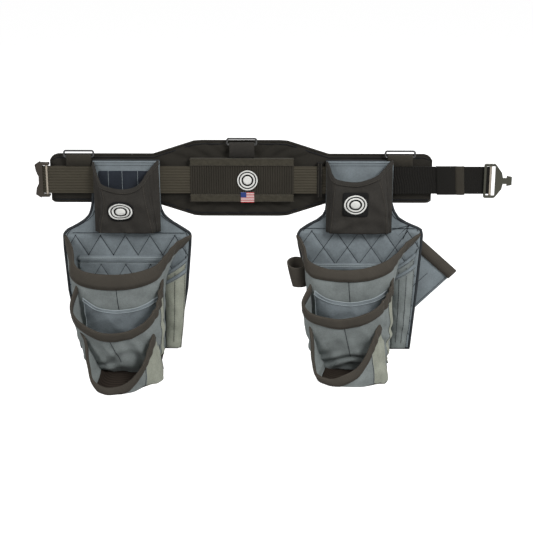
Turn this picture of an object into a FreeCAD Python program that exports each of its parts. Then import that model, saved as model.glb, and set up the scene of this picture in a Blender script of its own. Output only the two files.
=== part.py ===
"""Tool belt: a quilted lumbar pad on two inch webbing, three slot rings, a quick release
buckle, and two three-pocket pouches that slide on the webbing.

Millimetres.  +X runs along the belt towards the tongue half of the buckle, +Y towards the
wearer and +Z up.  The origin is the centre of the flat back face of the pad.  Heights in
the sheet are above the middle of the webbing, drops are below it, and depths are in front
of the pad.
"""
import FreeCAD, Part
import math
import os
import Sketcher
from FreeCAD import Vector

doc = FreeCAD.newDocument("tool_belt")

SIZES = [
    # webbing
    ("web_width", 50.8, "two inch webbing"),
    ("web_thick", 2.4, "webbing thickness"),
    ("soft_gap", 0.3, "clearance round soft pieces that move"),
    # lumbar pad
    ("pad_thick", 14.0, "whole pad, lining to cover"),
    ("lining_thick", 1.2, "back lining"),
    ("cover_thick", 1.4, "front cover"),
    ("binding_width", 3.0, "edge binding round the foam"),
    ("pad_half_top", 338.0, "half length along the top edge"),
    ("pad_half_bottom", 347.0, "half length along the bottom edge"),
    ("pad_end_rise", 44.0, "half height of the two arms"),
    ("pad_mid_rise", 69.0, "half height of the lumbar panel"),
    ("pad_mid_half", 84.0, "half length at the full height"),
    ("pad_bend_half", 158.0, "where the arm starts to widen"),
    ("pad_bend_radius", 70.0, "radius of the bends"),
    ("pad_corner_radius", 12.0, "radius of the end corners"),
    # layers in front of the pad
    ("web_depth", 18.0, "pad back to the back of the webbing"),
    ("pouch_depth", 15.9, "pad back to the back of a pouch"),
    # centre panel
    ("panel_half", 93.0, "half length of the ribbed panel"),
    ("panel_rise", 40.0, "half height of the ribbed panel"),
    ("panel_thick", 1.5, "ribbed panel"),
    ("panel_flange", 10.0, "sewn flange above and below the webbing"),
    ("tape_thick", 1.0, "edge tape"),
    ("label_mid", 12.0, "middle of the label and of the tag"),
    ("label_radius", 19.0, "bare round label"),
    ("label_thick", 0.8, "label"),
    ("tag_width", 24.0, "striped tag"),
    ("tag_height", 19.0, "striped tag"),
    ("tag_drop", 22.0, "top of the striped tag"),
    ("keeper_from", 138.0, "near edge of the webbing keeper"),
    ("keeper_width", 9.0, "webbing keeper"),
    # slot rings
    ("ring_width", 56.0, "outside width"),
    ("ring_reach", 13.0, "hinge bar to the outer face of the top bar"),
    ("wire_radius", 1.7, "ring wire"),
    ("ring_corner", 3.2, "bend of the wire at the corners"),
    ("tab_width", 45.0, "ring tab"),
    ("tab_thick", 1.4, "ring tab"),
    ("tab_tail", 16.0, "sewn tail below the hinge bar"),
    ("mid_tab_tail", 23.0, "sewn tail of the middle tab, down to the centre panel"),
    ("ring_left", -291.0, "middle of the left ring"),
    ("ring_mid", 2.0, "middle of the centre ring"),
    ("ring_right", 286.0, "middle of the right ring"),
    ("ring_rise", 41.5, "hinge bar of the two end rings"),
    ("mid_ring_rise", 64.0, "hinge bar of the centre ring"),
    # buckle, both halves
    ("bar_radius", 2.5, "webbing bar"),
    ("buckle_rise", 31.5, "half height of each half"),
    ("arm_thick", 4.5, "side arm that holds a webbing bar"),
    # socket half
    ("socket_bar", -350.0, "webbing bar of the socket half"),
    ("socket_reach", 20.0, "bar to the horns"),
    ("socket_waist", 14.5, "bar to the middle of the mouth"),
    ("socket_body", 7.0, "bar to the body"),
    ("socket_back", 5.0, "bar to the end of the side arms"),
    ("horn_cut", 6.0, "chamfer of a horn"),
    ("horn_lean", 3.0, "how far the mouth edge leans in from the horns"),
    ("mouth_lip", 2.0, "edge of the mouth beyond the head of the tongue"),
    ("mouth_play", 1.0, "clearance round the neck and the head of the tongue"),
    ("socket_round", 1.5, "corners of the horns"),
    ("arm_round", 2.0, "corners of the side arms"),
    ("plate_thick", 2.0, "base plate and cover plate"),
    ("plate_gap", 5.0, "space between the plates"),
    ("clip_thick", 4.6, "release clip"),
    ("clip_proud", 2.6, "clip that stands out of the plates"),
    ("clip_travel", 2.4, "travel of a clip"),
    ("clip_near", 9.0, "outer corner of a clip, in from the horns"),
    ("clip_slope", 4.0, "fall of a clip's outer edge below the horns"),
    ("clip_jaw", 5.0, "length of a clip's jaw"),
    ("clip_lead", 1.0, "lead of the jaw"),
    ("clip_round", 1.2, "corners of a clip"),
    ("rivet_radius", 1.6, "rivet shank"),
    ("rivet_inset", 4.0, "rivet in from the mouth"),
    ("rivet_back", 3.5, "rivet in front of the webbing bar"),
    # tongue half
    ("tongue_bar", 449.0, "webbing bar of the tongue half"),
    ("frame_thick", 4.0, "frame and tongue"),
    ("frame_front", 8.0, "bar to the near edge of the slot"),
    ("frame_rail", 4.0, "width of the near rail"),
    ("frame_far", 8.0, "bar to the far edge of the slot"),
    ("frame_body", 20.0, "bar to the start of the neck"),
    ("frame_taper", 15.0, "half height at the far end of the taper"),
    ("neck_end", 29.0, "bar to the head"),
    ("neck_half", 5.5, "half height of the neck"),
    ("head_end", 38.0, "bar to the tip of the head"),
    ("head_half", 9.3, "half height of the head"),
    ("head_cut", 2.0, "chamfer of the head"),
    ("frame_round", 3.0, "corners of the near rail"),
    ("taper_round", 6.0, "corners where the taper starts"),
    ("tail_end", 376.0, "end of the doubled webbing"),
    # pouches
    ("pouch_left", -206.0, "middle of the left pouch"),
    ("pouch_right", 214.0, "middle of the right pouch"),
    ("cloth", 1.8, "pouch cloth"),
    ("tunnel_half", 60.0, "half width of the belt tunnel"),
    ("tunnel_top", 36.0, "top edge"),
    ("tunnel_sew", 7.0, "sewn edge above and below the webbing"),
    ("neck_width", 68.0, "half width at the neck"),
    ("neck_drop", 94.0, "neck"),
    ("neck_radius", 30.0, "curve of the neck"),
    ("shoulder_half", 117.0, "half width at the shoulders"),
    ("shoulder_drop", 103.0, "shoulders"),
    ("foot_half", 90.0, "half width at the bottom"),
    ("foot_drop", 327.0, "bottom of the back panel"),
    ("foot_round", 6.0, "corners of the bottom"),
    ("sewn_play", 3.0, "webbing to the sewn edges of the tunnel"),
    ("phone_half", 59.0, "half width of the phone pocket"),
    ("phone_drop", 98.0, "bottom of the phone pocket"),
    ("phone_depth", 22.0, "depth of the phone pocket"),
    ("phone_side", 6.0, "how far the front of the phone pocket draws in at each side"),
    ("phone_scoop", 12.0, "lowest point of the left mouth, below the webbing's middle"),
    ("right_scoop", -1.0, "lowest point of the right mouth, below the webbing's middle"),
    ("divider_inset", 10.0, "divider in from each side of the phone pocket"),
    ("divider_rise", 17.0, "top of the divider above the webbing's middle"),
    ("lip_height", 12.7, "one inch webbing folded over an edge"),
    ("lip_thick", 1.2, "lip webbing"),
    ("cloth_corner", 16.0, "rounding of the pocket fronts"),
    ("front_bow", 5.0, "bow of the pocket fronts"),
    ("mouth_head", 8.0, "how far a pocket's form starts above its mouth"),
    # upper pocket
    ("upper_back", 103.0, "mouth at the back"),
    ("upper_front", 165.0, "mouth at the front"),
    ("upper_depth", 54.0, "depth at the mouth"),
    ("upper_foot_depth", 41.0, "depth at the bottom"),
    ("upper_foot", 300.0, "bottom"),
    ("upper_waist", 182.0, "where the right side has drawn in"),
    ("side_line", 62.0, "right side of the pockets, clear of the sleeves"),
    ("upper_front_left", 90.0, "left corner of the front"),
    ("upper_front_right", 58.0, "right corner of the front"),
    ("upper_flare_left", 10.0, "left corner at the mouth, beyond the corner below"),
    ("upper_flare_right", 37.0, "right corner at the mouth, beyond the corner below"),
    ("upper_draw", 7.0, "how far each front corner draws in at the bottom"),
    ("flare_depth", 3.0, "extra depth at the top of a form"),
    # middle pocket
    ("middle_back", 186.0, "mouth at the back"),
    ("middle_front", 258.0, "mouth at the front"),
    ("middle_depth", 99.0, "depth at the mouth"),
    ("middle_foot_depth", 68.0, "depth at the bottom"),
    ("middle_foot", 335.0, "bottom"),
    ("middle_left", 97.0, "left side"),
    ("middle_right", 60.0, "right side"),
    ("middle_draw", 18.0, "how far each side draws in at the bottom"),
    ("middle_lap", 4.0, "how far the middle pocket starts behind the upper front"),
    # lower pocket
    ("lower_back", 268.0, "mouth at the back"),
    ("lower_front", 359.0, "mouth at the front"),
    ("lower_reach", 13.0, "front of the lower pocket, in front of the middle one"),
    ("lower_toe_in", 8.0, "how far its front draws back at the bottom"),
    ("lower_foot", 370.0, "bottom"),
    ("lower_left", 80.0, "left side at the back wall"),
    ("lower_right", 60.0, "right side at the back wall"),
    ("lower_front_left", 72.0, "left corner of the front, at the mouth"),
    ("lower_front_right", 40.0, "right corner of the front, at the mouth"),
    ("lower_toe_left", 56.0, "left corner of the front, at the bottom"),
    ("lower_toe_right", 18.0, "right corner of the front, at the bottom"),
    ("lower_heel", 56.0, "depth of its back wall"),
    ("lower_lap", 12.0, "how far the lower pocket starts behind the middle front"),
    # the right pouch holds its mouths higher than the left
    ("right_upper_lift", 9.0, "upper mouth at the front"),
    ("right_middle_lift", 27.0, "middle mouth at the front"),
    ("right_lower_lift", 17.0, "lower mouth at the front"),
    ("right_back_lift", 12.0, "lower mouth at the back"),
    ("right_toe_lift", 9.0, "bottom of the lower pocket"),
    # flat pockets inside
    ("inner_thick", 1.4, "flat inner pocket"),
    ("inner_drop", 144.0, "hem of the inner pocket of the upper pocket"),
    ("inner_front_drop", 226.0, "hem of the inner pocket of the middle pocket"),
    ("inner_margin", 12.0, "flat inner pocket in from the pocket's sides"),
    ("inner_gap", 4.0, "flat inner pocket above the pocket's bottom"),
    # tool sleeves
    ("sleeve_from", 66.0, "near edge of the tool sleeves"),
    ("sleeve_width", 34.0, "width"),
    ("sleeve_depth", 9.0, "depth of each"),
    ("sleeve_drop", 182.0, "mouth at its low side"),
    ("sleeve_slope", 24.0, "rise of the mouth across the width"),
    ("sleeve_step", 14.0, "front sleeve below the back sleeve"),
    ("sleeve_lean", 12.0, "how far the sleeves narrow at the bottom"),
    # tool loop of the right pouch
    ("loop_out", 116.0, "middle of the loop, left of the pouch's middle"),
    ("loop_half", 16.0, "half width"),
    ("loop_depth", 27.0, "depth"),
    ("loop_top", 134.0, "top"),
    ("loop_foot", 184.0, "bottom"),
    ("loop_thick", 2.0, "webbing of the loop"),
    ("loop_gap", 3.0, "loop in front of the back panel"),
    # square sleeve of the right pouch
    ("square_wide", 89.0, "along its mouth"),
    ("square_long", 108.0, "mouth to bottom"),
    ("square_turn", 46.0, "turn of the sleeve, degrees"),
    ("square_out", 114.0, "top corner, right of the pouch's middle"),
    ("square_drop", 112.0, "top corner"),
    ("square_wall", 1.5, "cloth of the sleeve"),
    ("square_gap", 4.6, "space inside"),
    ("square_seam", 3.0, "seam along three sides"),
    ("band_width", 20.0, "band along the mouth"),
    ("band_thick", 1.2, "band"),
]

sheet = doc.addObject("Spreadsheet::Sheet", "Sizes")
for row, (alias, value, note) in enumerate(SIZES, 1):
    sheet.set("A%d" % row, alias)
    sheet.set("B%d" % row, "%g" % value)
    sheet.set("C%d" % row, note)
    sheet.setAlias("B%d" % row, alias)
doc.recompute()


class Values:
    """The sheet's numbers, read by alias."""

    def __getattr__(self, alias):
        return float(sheet.get(alias))


S = Values()
ALIASES = sorted((alias for alias, value, note in SIZES), key=len, reverse=True)
finished = []


def expr(text):
    """Write an expression of bare aliases as one of the sheet's cells."""
    out = []
    word = ""
    for char in text + " ":
        if char.isalnum() or char == "_":
            word += char
            continue
        out.append("Sizes." + word if word in ALIASES else word)
        word = ""
        out.append(char)
    return "".join(out).strip()


def number(text):
    """The value of an expression of aliases."""
    found = sheet.evalExpression(expr(text))
    return float(getattr(found, "Value", found))


def bind(target, prop, text):
    target.setExpression(prop, expr(text))


def place(target, x="0", y="0", z="0"):
    for axis, text in (("x", x), ("y", y), ("z", z)):
        bind(target, "Placement.Base." + axis, text)


def keep(target, label):
    """Name a finished sub-part."""
    target.Label = label
    finished.append((label, target))
    return target


# ---------------------------------------------------------------- sketched bodies
def origin_plane(body, role):
    return [f for f in body.Origin.OriginFeatures if f.Role == role][0]


def prism(label, role, corners, length, at=("0", "0", "0"), rounds=(), windows=()):
    """A body: one straight-sided sketch, padded, with rounded corners and windows.

    role is the sketch's plane: XZ_Plane pads towards -Y and YZ_Plane towards +X.
    rounds holds (corner numbers, radius); windows holds further corner lists, cut through.
    """
    body = doc.addObject("PartDesign::Body", label + "_body")
    pad = body.newObject("PartDesign::Pad", label + "_pad")
    pad.Profile = outline(body, label + "_outline", role, corners)
    bind(pad, "Length", length)
    body.Tip = pad
    doc.recompute()
    last = pad
    for index, (which, radius) in enumerate(rounds):
        edges = []
        for corner in which:
            edges += corner_edges(last.Shape, role, corners[corner])
        fillet = body.newObject("PartDesign::Fillet", "%s_round%d" % (label, index))
        fillet.Base = (last, edges)
        bind(fillet, "Radius", radius)
        body.Tip = fillet
        doc.recompute()
        last = fillet
    for index, hole in enumerate(windows):
        cut = body.newObject("PartDesign::Pocket", "%s_window%d" % (label, index))
        cut.Profile = outline(body, "%s_window_outline%d" % (label, index), role, hole)
        cut.Type = 1
        cut.Midplane = True
        body.Tip = cut
        doc.recompute()
    place(body, *at)
    return body


def outline(body, name, role, corners):
    """A closed sketch whose corners are bound to the sheet."""
    sketch = body.newObject("Sketcher::SketchObject", name)
    sketch.AttachmentSupport = (origin_plane(body, role), [""])
    sketch.MapMode = "FlatFace"
    points = [Vector(number(u), number(v), 0) for u, v in corners]
    count = len(points)
    for index in range(count):
        sketch.addGeometry(Part.LineSegment(points[index], points[(index + 1) % count]), False)
    for index in range(count):
        sketch.addConstraint(Sketcher.Constraint("Coincident", index, 2, (index + 1) % count, 1))
    for index, (u, v) in enumerate(corners):
        for kind, text, value in (("DistanceX", u, points[index].x), ("DistanceY", v, points[index].y)):
            made = sketch.addConstraint(Sketcher.Constraint(kind, -1, 1, index, 1, value))
            bind(sketch, "Constraints[%d]" % made, text)
    return sketch


def corner_edges(shape, role, corner):
    """Names of the padded edges that stand on one corner of the outline."""
    u, v = number(corner[0]), number(corner[1])
    names = []
    for index, edge in enumerate(shape.Edges, 1):
        ends = [vertex.Point for vertex in edge.Vertexes]
        if len(ends) != 2:
            continue
        if role == "XZ_Plane":
            flat = [(p.x, p.z) for p in ends]
        else:
            flat = [(p.y, p.z) for p in ends]
        if all(abs(a - u) < 1e-4 and abs(b - v) < 1e-4 for a, b in flat):
            names.append("Edge%d" % index)
    return names


# ---------------------------------------------------------------- primitives
def block(label, x, y, z):
    """A box between two expressions along each axis."""
    made = doc.addObject("Part::Box", label + "_box")
    for prop, (low, high) in (("Length", x), ("Width", y), ("Height", z)):
        bind(made, prop, "(%s) - (%s)" % (high, low))
    place(made, x[0], y[0], z[0])
    return made


def rod(label, radius, length, x, y, z, along="Z"):
    """A cylinder that starts at a point and runs along +X, -Y or +Z."""
    made = doc.addObject("Part::Cylinder", label + "_rod")
    bind(made, "Radius", radius)
    bind(made, "Height", length)
    turn = {"X": (Vector(0, 1, 0), 90), "Y": (Vector(1, 0, 0), 90), "Z": (Vector(0, 0, 1), 0)}[along]
    made.Placement = FreeCAD.Placement(Vector(), FreeCAD.Rotation(*turn))
    place(made, x, y, z)
    return made


def fuse(label, pieces):
    made = doc.addObject("Part::MultiFuse", label + "_fuse")
    made.Shapes = pieces
    made.Refine = True
    return made


def cut(label, base, tool):
    made = doc.addObject("Part::Cut", label + "_cut")
    made.Base = base
    made.Tool = tool
    made.Refine = True
    return made


def shaped(label, shape):
    """A sewn form that is lofted from its sections."""
    made = doc.addObject("Part::Feature", label + "_form")
    made.Shape = shape
    return keep(made, label)


# ---------------------------------------------------------------- lumbar pad
def pad_corners(inset):
    """The pad's outline, drawn in by a width all round."""
    top, mid = "pad_end_rise - %s" % inset, "pad_mid_rise - %s" % inset
    right = [("pad_mid_half", mid), ("pad_bend_half", top), ("pad_half_top - %s" % inset, top),
             ("pad_half_bottom - %s" % inset, "-(%s)" % top), ("pad_bend_half", "-(%s)" % top),
             ("pad_mid_half", "-(%s)" % mid)]
    left = [("-(%s)" % u, v) for u, v in reversed(right)]
    return right + left


PAD_ROUNDS = [((0, 1, 4, 5, 6, 7, 10, 11), "pad_bend_radius"), ((2, 3, 8, 9), "pad_corner_radius")]


def build_pad():
    outer, inner = pad_corners("0"), pad_corners("binding_width")
    middle = "pad_thick - lining_thick - cover_thick"
    keep(prism("pad_back_lining", "XZ_Plane", outer, "lining_thick", rounds=PAD_ROUNDS), "pad_back_lining")
    keep(prism("pad_foam_core", "XZ_Plane", inner, middle, at=("0", "-lining_thick", "0"),
               rounds=PAD_ROUNDS), "pad_foam_core")
    keep(prism("pad_front_cover", "XZ_Plane", outer, "cover_thick",
               at=("0", "-(pad_thick - cover_thick)", "0"), rounds=PAD_ROUNDS), "pad_front_cover")
    start = ("0", "-lining_thick", "0")
    whole = prism("binding_outer", "XZ_Plane", outer, middle, at=start, rounds=PAD_ROUNDS)
    core = prism("binding_inner", "XZ_Plane", inner, middle, at=start, rounds=PAD_ROUNDS)
    keep(cut("pad_edge_binding", whole, core), "pad_edge_binding")


# ---------------------------------------------------------------- webbing and what is sewn on it
WEB_MID = "-(web_depth + web_thick / 2)"
WEB_FRONT = "web_depth + web_thick"


def build_web():
    """One length of webbing with an eye round the bar of each buckle half."""
    half = "web_width / 2"
    strap = block("web_strap", ("socket_bar", "tongue_bar"),
                  ("-(%s)" % WEB_FRONT, "-web_depth"), ("-" + half, half))
    doubled = block("web_doubled", ("tail_end", "tongue_bar"),
                    ("-web_depth", "-(web_depth - web_thick)"), ("-" + half, half))
    eyes = []
    holes = []
    for side, bar in (("socket", "socket_bar"), ("tongue", "tongue_bar")):
        eyes.append(rod("web_eye_" + side, "bar_radius + soft_gap + web_thick", "web_width",
                        bar, WEB_MID, "-" + half))
        holes.append(rod("web_hole_" + side, "bar_radius + soft_gap", "web_width + 2",
                         bar, WEB_MID, "-%s - 1" % half))
    solid = fuse("web_solid", [strap, doubled] + eyes)
    keep(cut("main_web", solid, fuse("web_holes", holes)), "main_web")


def hat(label, outer_gap, thick, rise, flange, length, x0, only=None):
    """A strip sewn down above and below the webbing and raised over it.

    outer_gap is the layer below it; only keeps the top or the bottom half as edge tape,
    whose slope follows that of the layer below.
    """
    base = "pad_thick + %s" % outer_gap
    crown = "%s + soft_gap + %s" % (WEB_FRONT, outer_gap)
    knee = "%s - %s%s" % (rise, flange, "" if only is None else " + 1")
    crest = "web_width / 2 + 1"
    top = [("-(%s)" % base, rise), ("-(%s)" % base, knee), ("-(%s)" % crown, crest)]
    front = [("-(%s + %s)" % (crown, thick), crest), ("-(%s + %s)" % (base, thick), knee + " + 1"),
             ("-(%s + %s)" % (base, thick), rise)]
    if only is None:
        low = [(u, "-(%s)" % v) for u, v in top[::-1]]
        low_front = [(u, "-(%s)" % v) for u, v in front[::-1]]
        corners = top + low + low_front + front
    elif only == "top":
        corners = top + front
    else:
        corners = [(u, "-(%s)" % v) for u, v in top + front]
    return keep(prism(label, "YZ_Plane", corners, length, at=(x0, "0", "0")), label)


def build_panel():
    length = "2 * panel_half"
    start = "ring_mid - panel_half"
    hat("centre_panel", "0", "panel_thick", "panel_rise", "panel_flange", length, start)
    for side in ("top", "bottom"):
        hat("panel_%s_tape" % side, "panel_thick", "tape_thick", "panel_rise", "panel_flange", length,
            start, only=side)
    front = "-(%s + soft_gap + panel_thick)" % WEB_FRONT
    keep(rod("centre_label", "label_radius", "label_thick", "label_mid", front, "0", along="Y"),
         "centre_label")
    keep(block("striped_tag", ("label_mid - tag_width / 2", "label_mid + tag_width / 2"),
               ("-(web_depth + web_thick + soft_gap + panel_thick + tape_thick + label_thick)",
                "-(web_depth + web_thick + soft_gap + panel_thick + tape_thick)"),
               ("-(tag_drop + tag_height)", "-tag_drop")), "striped_tag")
    hat("web_keeper", "0", "panel_thick", "panel_rise - 2", "panel_flange - 2", "keeper_width",
        "keeper_from")


# ---------------------------------------------------------------- slot rings
def build_rings():
    """Each ring is a bent wire frame whose lower bar lies in a sewn tab."""
    for side, middle, rise, tail in (("left", "ring_left", "ring_rise", "tab_tail"),
                                     ("centre", "ring_mid", "mid_ring_rise", "mid_tab_tail"),
                                     ("right", "ring_right", "ring_rise", "tab_tail")):
        depth = "pad_thick + wire_radius + soft_gap + tab_thick"
        start = "%s - tab_width / 2" % middle
        name = "ring_tab_" + side
        roll = rod(name + "_roll", "wire_radius + soft_gap + tab_thick", "tab_width", start,
                   "-(%s)" % depth, rise, along="X")
        flat = block(name + "_flat", (start, "%s + tab_width / 2" % middle),
                     ("-(pad_thick + tab_thick)", "-pad_thick"), ("%s - %s" % (rise, tail), rise))
        bore = rod(name + "_bore", "wire_radius + soft_gap", "tab_width + 2", start + " - 1",
                   "-(%s)" % depth, rise, along="X")
        keep(cut(name, fuse(name, [roll, flat]), bore), name)
        slot_ring("slot_ring_" + side, middle, depth, rise)


def slot_ring(label, middle, depth, rise):
    """A closed wire rectangle with bent corners, swept from its centre line."""
    x, y, z = number(middle), -number(depth), number(rise)
    half = S.ring_width / 2 - S.wire_radius
    tall = S.ring_reach - S.wire_radius
    bend = S.ring_corner
    edges = []
    corners = [(half, 0), (half, tall), (-half, tall), (-half, 0)]
    ends = []
    for index, (cx, cz) in enumerate(corners):
        before = corners[index - 1]
        after = corners[(index + 1) % 4]
        here = Vector(x + cx, y, z + cz)
        to_before = (Vector(x + before[0], y, z + before[1]) - here).normalize()
        to_after = (Vector(x + after[0], y, z + after[1]) - here).normalize()
        first, last = here + to_before * bend, here + to_after * bend
        centre = here + (to_before + to_after) * bend
        middle_point = centre + (here - centre).normalize() * bend
        ends.append((first, middle_point, last))
    for index, (first, middle_point, last) in enumerate(ends):
        edges.append(Part.Arc(first, middle_point, last).toShape())
        edges.append(Part.LineSegment(last, ends[(index + 1) % 4][0]).toShape())
    path = Part.Wire(edges)
    start = ends[0][2]
    profile = Part.Wire([Part.makeCircle(S.wire_radius, start, Vector(0, 0, 1))])
    shaped(label, path.makePipeShell([profile], True, False))


# ---------------------------------------------------------------- socket half of the buckle
def build_socket():
    y_base = "%s + plate_gap / 2" % WEB_MID
    y_cover = "%s - plate_gap / 2 - plate_thick" % WEB_MID
    bar = "socket_bar"
    slot = "buckle_rise - arm_thick"
    left = [("%s - socket_reach + horn_cut" % bar, "buckle_rise"),
            ("%s - socket_reach" % bar, "buckle_rise - horn_cut"),
            ("%s - socket_reach + horn_lean" % bar, "head_half + mouth_lip"),
            ("%s - socket_waist" % bar, "neck_half + mouth_play")]
    right = [("%s + socket_back" % bar, "-buckle_rise"), ("%s + socket_back" % bar, "-(%s)" % slot),
             ("%s - socket_body" % bar, "-(%s)" % slot), ("%s - socket_body" % bar, slot),
             ("%s + socket_back" % bar, slot), ("%s + socket_back" % bar, "buckle_rise")]
    corners = left + [(u, "-(%s)" % v) for u, v in reversed(left)] + right
    rounds = [((1, 6), "socket_round"), ((8, 13), "arm_round")]
    for label, y in (("socket_base_plate", y_base), ("socket_cover_plate", y_cover)):
        rear = y + " + plate_thick"
        keep(prism(label, "XZ_Plane", corners, "plate_thick", at=("0", rear, "0"), rounds=rounds), label)
    rod_half = "buckle_rise - mouth_play / 2"
    keep(rod("socket_web_bar", "bar_radius", "2 * (%s)" % rod_half, bar, WEB_MID, "-(%s)" % rod_half),
         "socket_web_bar")
    jaw = "head_half + clip_travel + "
    for side, sign in (("upper", ""), ("lower", "-")):
        shape = [("%s - socket_reach + clip_near" % bar, "buckle_rise + clip_proud"),
                 ("%s - socket_reach - clip_lead" % bar, "buckle_rise - clip_slope"),
                 ("%s - socket_reach + clip_lead" % bar, jaw + "horn_lean"),
                 ("%s - socket_reach + clip_jaw" % bar, jaw + "mouth_lip"),
                 ("%s - socket_body - mouth_lip" % bar, "buckle_rise - horn_cut")]
        shape = [(u, "%s(%s)" % (sign, v)) for u, v in shape]
        keep(prism("socket_%s_clip" % side, "XZ_Plane", shape, "clip_thick",
                   at=("0", "%s + clip_thick / 2" % WEB_MID, "0"),
                   rounds=[((0, 1), "clip_round")]), "socket_%s_clip" % side)
    rivets = []
    inner = ("socket_body + mouth_lip", "head_half + rivet_inset")
    outer = ("bar_radius + rivet_back", "buckle_rise - arm_thick / 2")
    spots = [inner, outer] + [(dx, "-(%s)" % dz) for dx, dz in (inner, outer)]
    for index, (dx, dz) in enumerate(spots):
        rivets.append(rod("socket_rivet%d" % index, "rivet_radius", "plate_gap",
                          "%s - (%s)" % (bar, dx), y_base, dz, along="Y"))
    keep(fuse("socket_rivets", rivets), "socket_rivets")


# ---------------------------------------------------------------- tongue half of the buckle
def build_tongue():
    bar = "tongue_bar"
    slot = "buckle_rise - arm_thick"
    top = [("%s - frame_front - frame_rail" % bar, "buckle_rise"), ("%s + frame_far" % bar, "buckle_rise"),
           ("%s + frame_body" % bar, "frame_taper"), ("%s + frame_body + head_cut" % bar, "neck_half"),
           ("%s + neck_end" % bar, "neck_half"), ("%s + neck_end" % bar, "head_half"),
           ("%s + head_end" % bar, "head_half - head_cut")]
    corners = top + [(u, "-(%s)" % v) for u, v in reversed(top)]
    window = [("%s - frame_front" % bar, slot), ("%s + frame_far" % bar, slot),
              ("%s + frame_far" % bar, "-(%s)" % slot), ("%s - frame_front" % bar, "-(%s)" % slot)]
    keep(prism("tongue_frame", "XZ_Plane", corners, "frame_thick",
               at=("0", "-(%s + soft_gap)" % WEB_FRONT, "0"),
               rounds=[((0, 13), "frame_round"), ((1, 12), "taper_round")], windows=[window]), "tongue_frame")
    keep(rod("tongue_web_bar", "bar_radius", "2 * (%s)" % slot, bar, WEB_MID, "-(%s)" % slot),
         "tongue_web_bar")


# ---------------------------------------------------------------- pouch forms
def section(z, back, front, y_back, y_front, corner, bow):
    """A level section of a pocket: flat back, two sides, a bowed front with round corners."""
    a, d = Vector(back[0], y_back, z), Vector(back[1], y_back, z)
    b, c = Vector(front[0], y_front, z), Vector(front[1], y_front, z)
    radius = min(corner, 0.4 * abs(y_back - y_front), 0.3 * abs(front[1] - front[0]))

    def rounded(before, here, after):
        first = here + (before - here).normalize() * radius
        last = here + (after - here).normalize() * radius
        middle = here + (first + last - here * 2) * (1 - math.sqrt(0.5))
        return first, middle, last

    left, right = rounded(a, b, c), rounded(b, c, d)
    crest = (b + c) * 0.5 + Vector(0, -bow, 0)
    return Part.Wire([
        Part.LineSegment(a, left[0]).toShape(), Part.Arc(*left).toShape(),
        Part.Arc(left[2], crest, right[0]).toShape(), Part.Arc(*right).toShape(),
        Part.LineSegment(right[2], d).toShape(), Part.LineSegment(d, a).toShape()])


def bag(levels, middle, y_back, grow=0.0, floor=0.0):
    """The outer form of a pocket through its levels, grown or drawn in by a thickness."""
    wires = []
    for index, (drop, back, front, depth) in enumerate(levels):
        z = -drop + (floor if index == len(levels) - 1 else 0.0)
        wires.append(section(z, (middle + back[0] - grow, middle + back[1] + grow),
                             (middle + front[0] - grow, middle + front[1] + grow),
                             y_back, -(S.pouch_depth + S.cloth + depth + grow),
                             S.cloth_corner, S.front_bow))
    return Part.makeLoft(wires, True, True)


def above(y0, z0, y1, z1, shift=0.0):
    """Everything above the sloping line of a mouth."""
    slope = (z1 - z0) / (y1 - y0)
    wide = 2 * S.pad_half_bottom
    near, far = y0 + 2 * S.shoulder_half, y1 - 2 * S.shoulder_half
    sky = 2 * S.lower_foot
    points = [Vector(-wide, near, z0 + slope * (near - y0) - shift),
              Vector(-wide, far, z0 + slope * (far - y0) - shift),
              Vector(-wide, far, sky), Vector(-wide, near, sky)]
    return Part.Face(Part.makePolygon(points + points[:1])).extrude(Vector(2 * wide, 0, 0))


def pocket_levels(side):
    """Drop, back edges, front edges and depth of the upper, middle and lower pocket."""
    edge = S.shoulder_half
    lean = (S.shoulder_half - S.foot_half) / (S.foot_drop - S.shoulder_drop)
    toe = S.lower_foot - (S.right_toe_lift if side == "right" else 0.0)

    def outside(drop):
        return S.shoulder_half - lean * (drop - S.shoulder_drop)

    upper_left, upper_right = S.upper_front_left, S.upper_front_right
    upper = [
        (S.upper_back - S.mouth_head, (-edge, edge),
          (-upper_left - S.upper_flare_left, upper_right + S.upper_flare_right),
         S.upper_depth + S.flare_depth),
        (S.upper_waist, (-outside(S.upper_waist), S.side_line), (-upper_left, upper_right), S.upper_depth),
        (S.upper_foot, (-outside(S.upper_foot), S.side_line - S.middle_lap),
         (-upper_left + S.upper_draw, upper_right - S.upper_draw), S.upper_foot_depth)]
    wide = (-S.middle_left, S.middle_right)
    narrow = (-S.middle_left + S.middle_draw, S.middle_right - S.middle_draw)
    middle = [
        (S.middle_back - S.mouth_head, wide, wide, S.middle_depth + S.flare_depth),
        (S.middle_front, wide, wide, S.middle_depth),
        (S.middle_foot, narrow, narrow, S.middle_foot_depth)]
    back = (-S.lower_left, S.lower_right)
    front = (-S.lower_front_left, S.lower_front_right)
    depth = S.middle_depth + S.lower_reach
    lower = [
        (S.lower_back - 2 * S.mouth_head, back, front, depth + S.flare_depth),
        (S.lower_front - 2 * S.mouth_head, back, front, depth),
        (toe, back, (-S.lower_toe_left, S.lower_toe_right), depth - S.lower_toe_in)]
    return upper, middle, lower


def pocket_mouths(side, y_panel):
    """The sloping line of each mouth: depth and height at the back, then at the front."""
    lifts = (0.0, 0.0, 0.0, 0.0)
    if side == "right":
        lifts = (S.right_upper_lift, S.right_middle_lift, S.right_lower_lift, S.right_back_lift)
    return {
        "upper": (y_panel, -S.upper_back, y_panel - S.upper_depth, -S.upper_front + lifts[0]),
        "middle": (y_panel - S.upper_depth + S.middle_lap, -S.middle_back,
                   y_panel - S.middle_depth, -S.middle_front + lifts[1]),
        "lower": (y_panel - S.middle_depth + S.lower_lap, -S.lower_back + lifts[3],
                  y_panel - S.middle_depth - S.lower_reach, -S.lower_front + lifts[2])}


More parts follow.
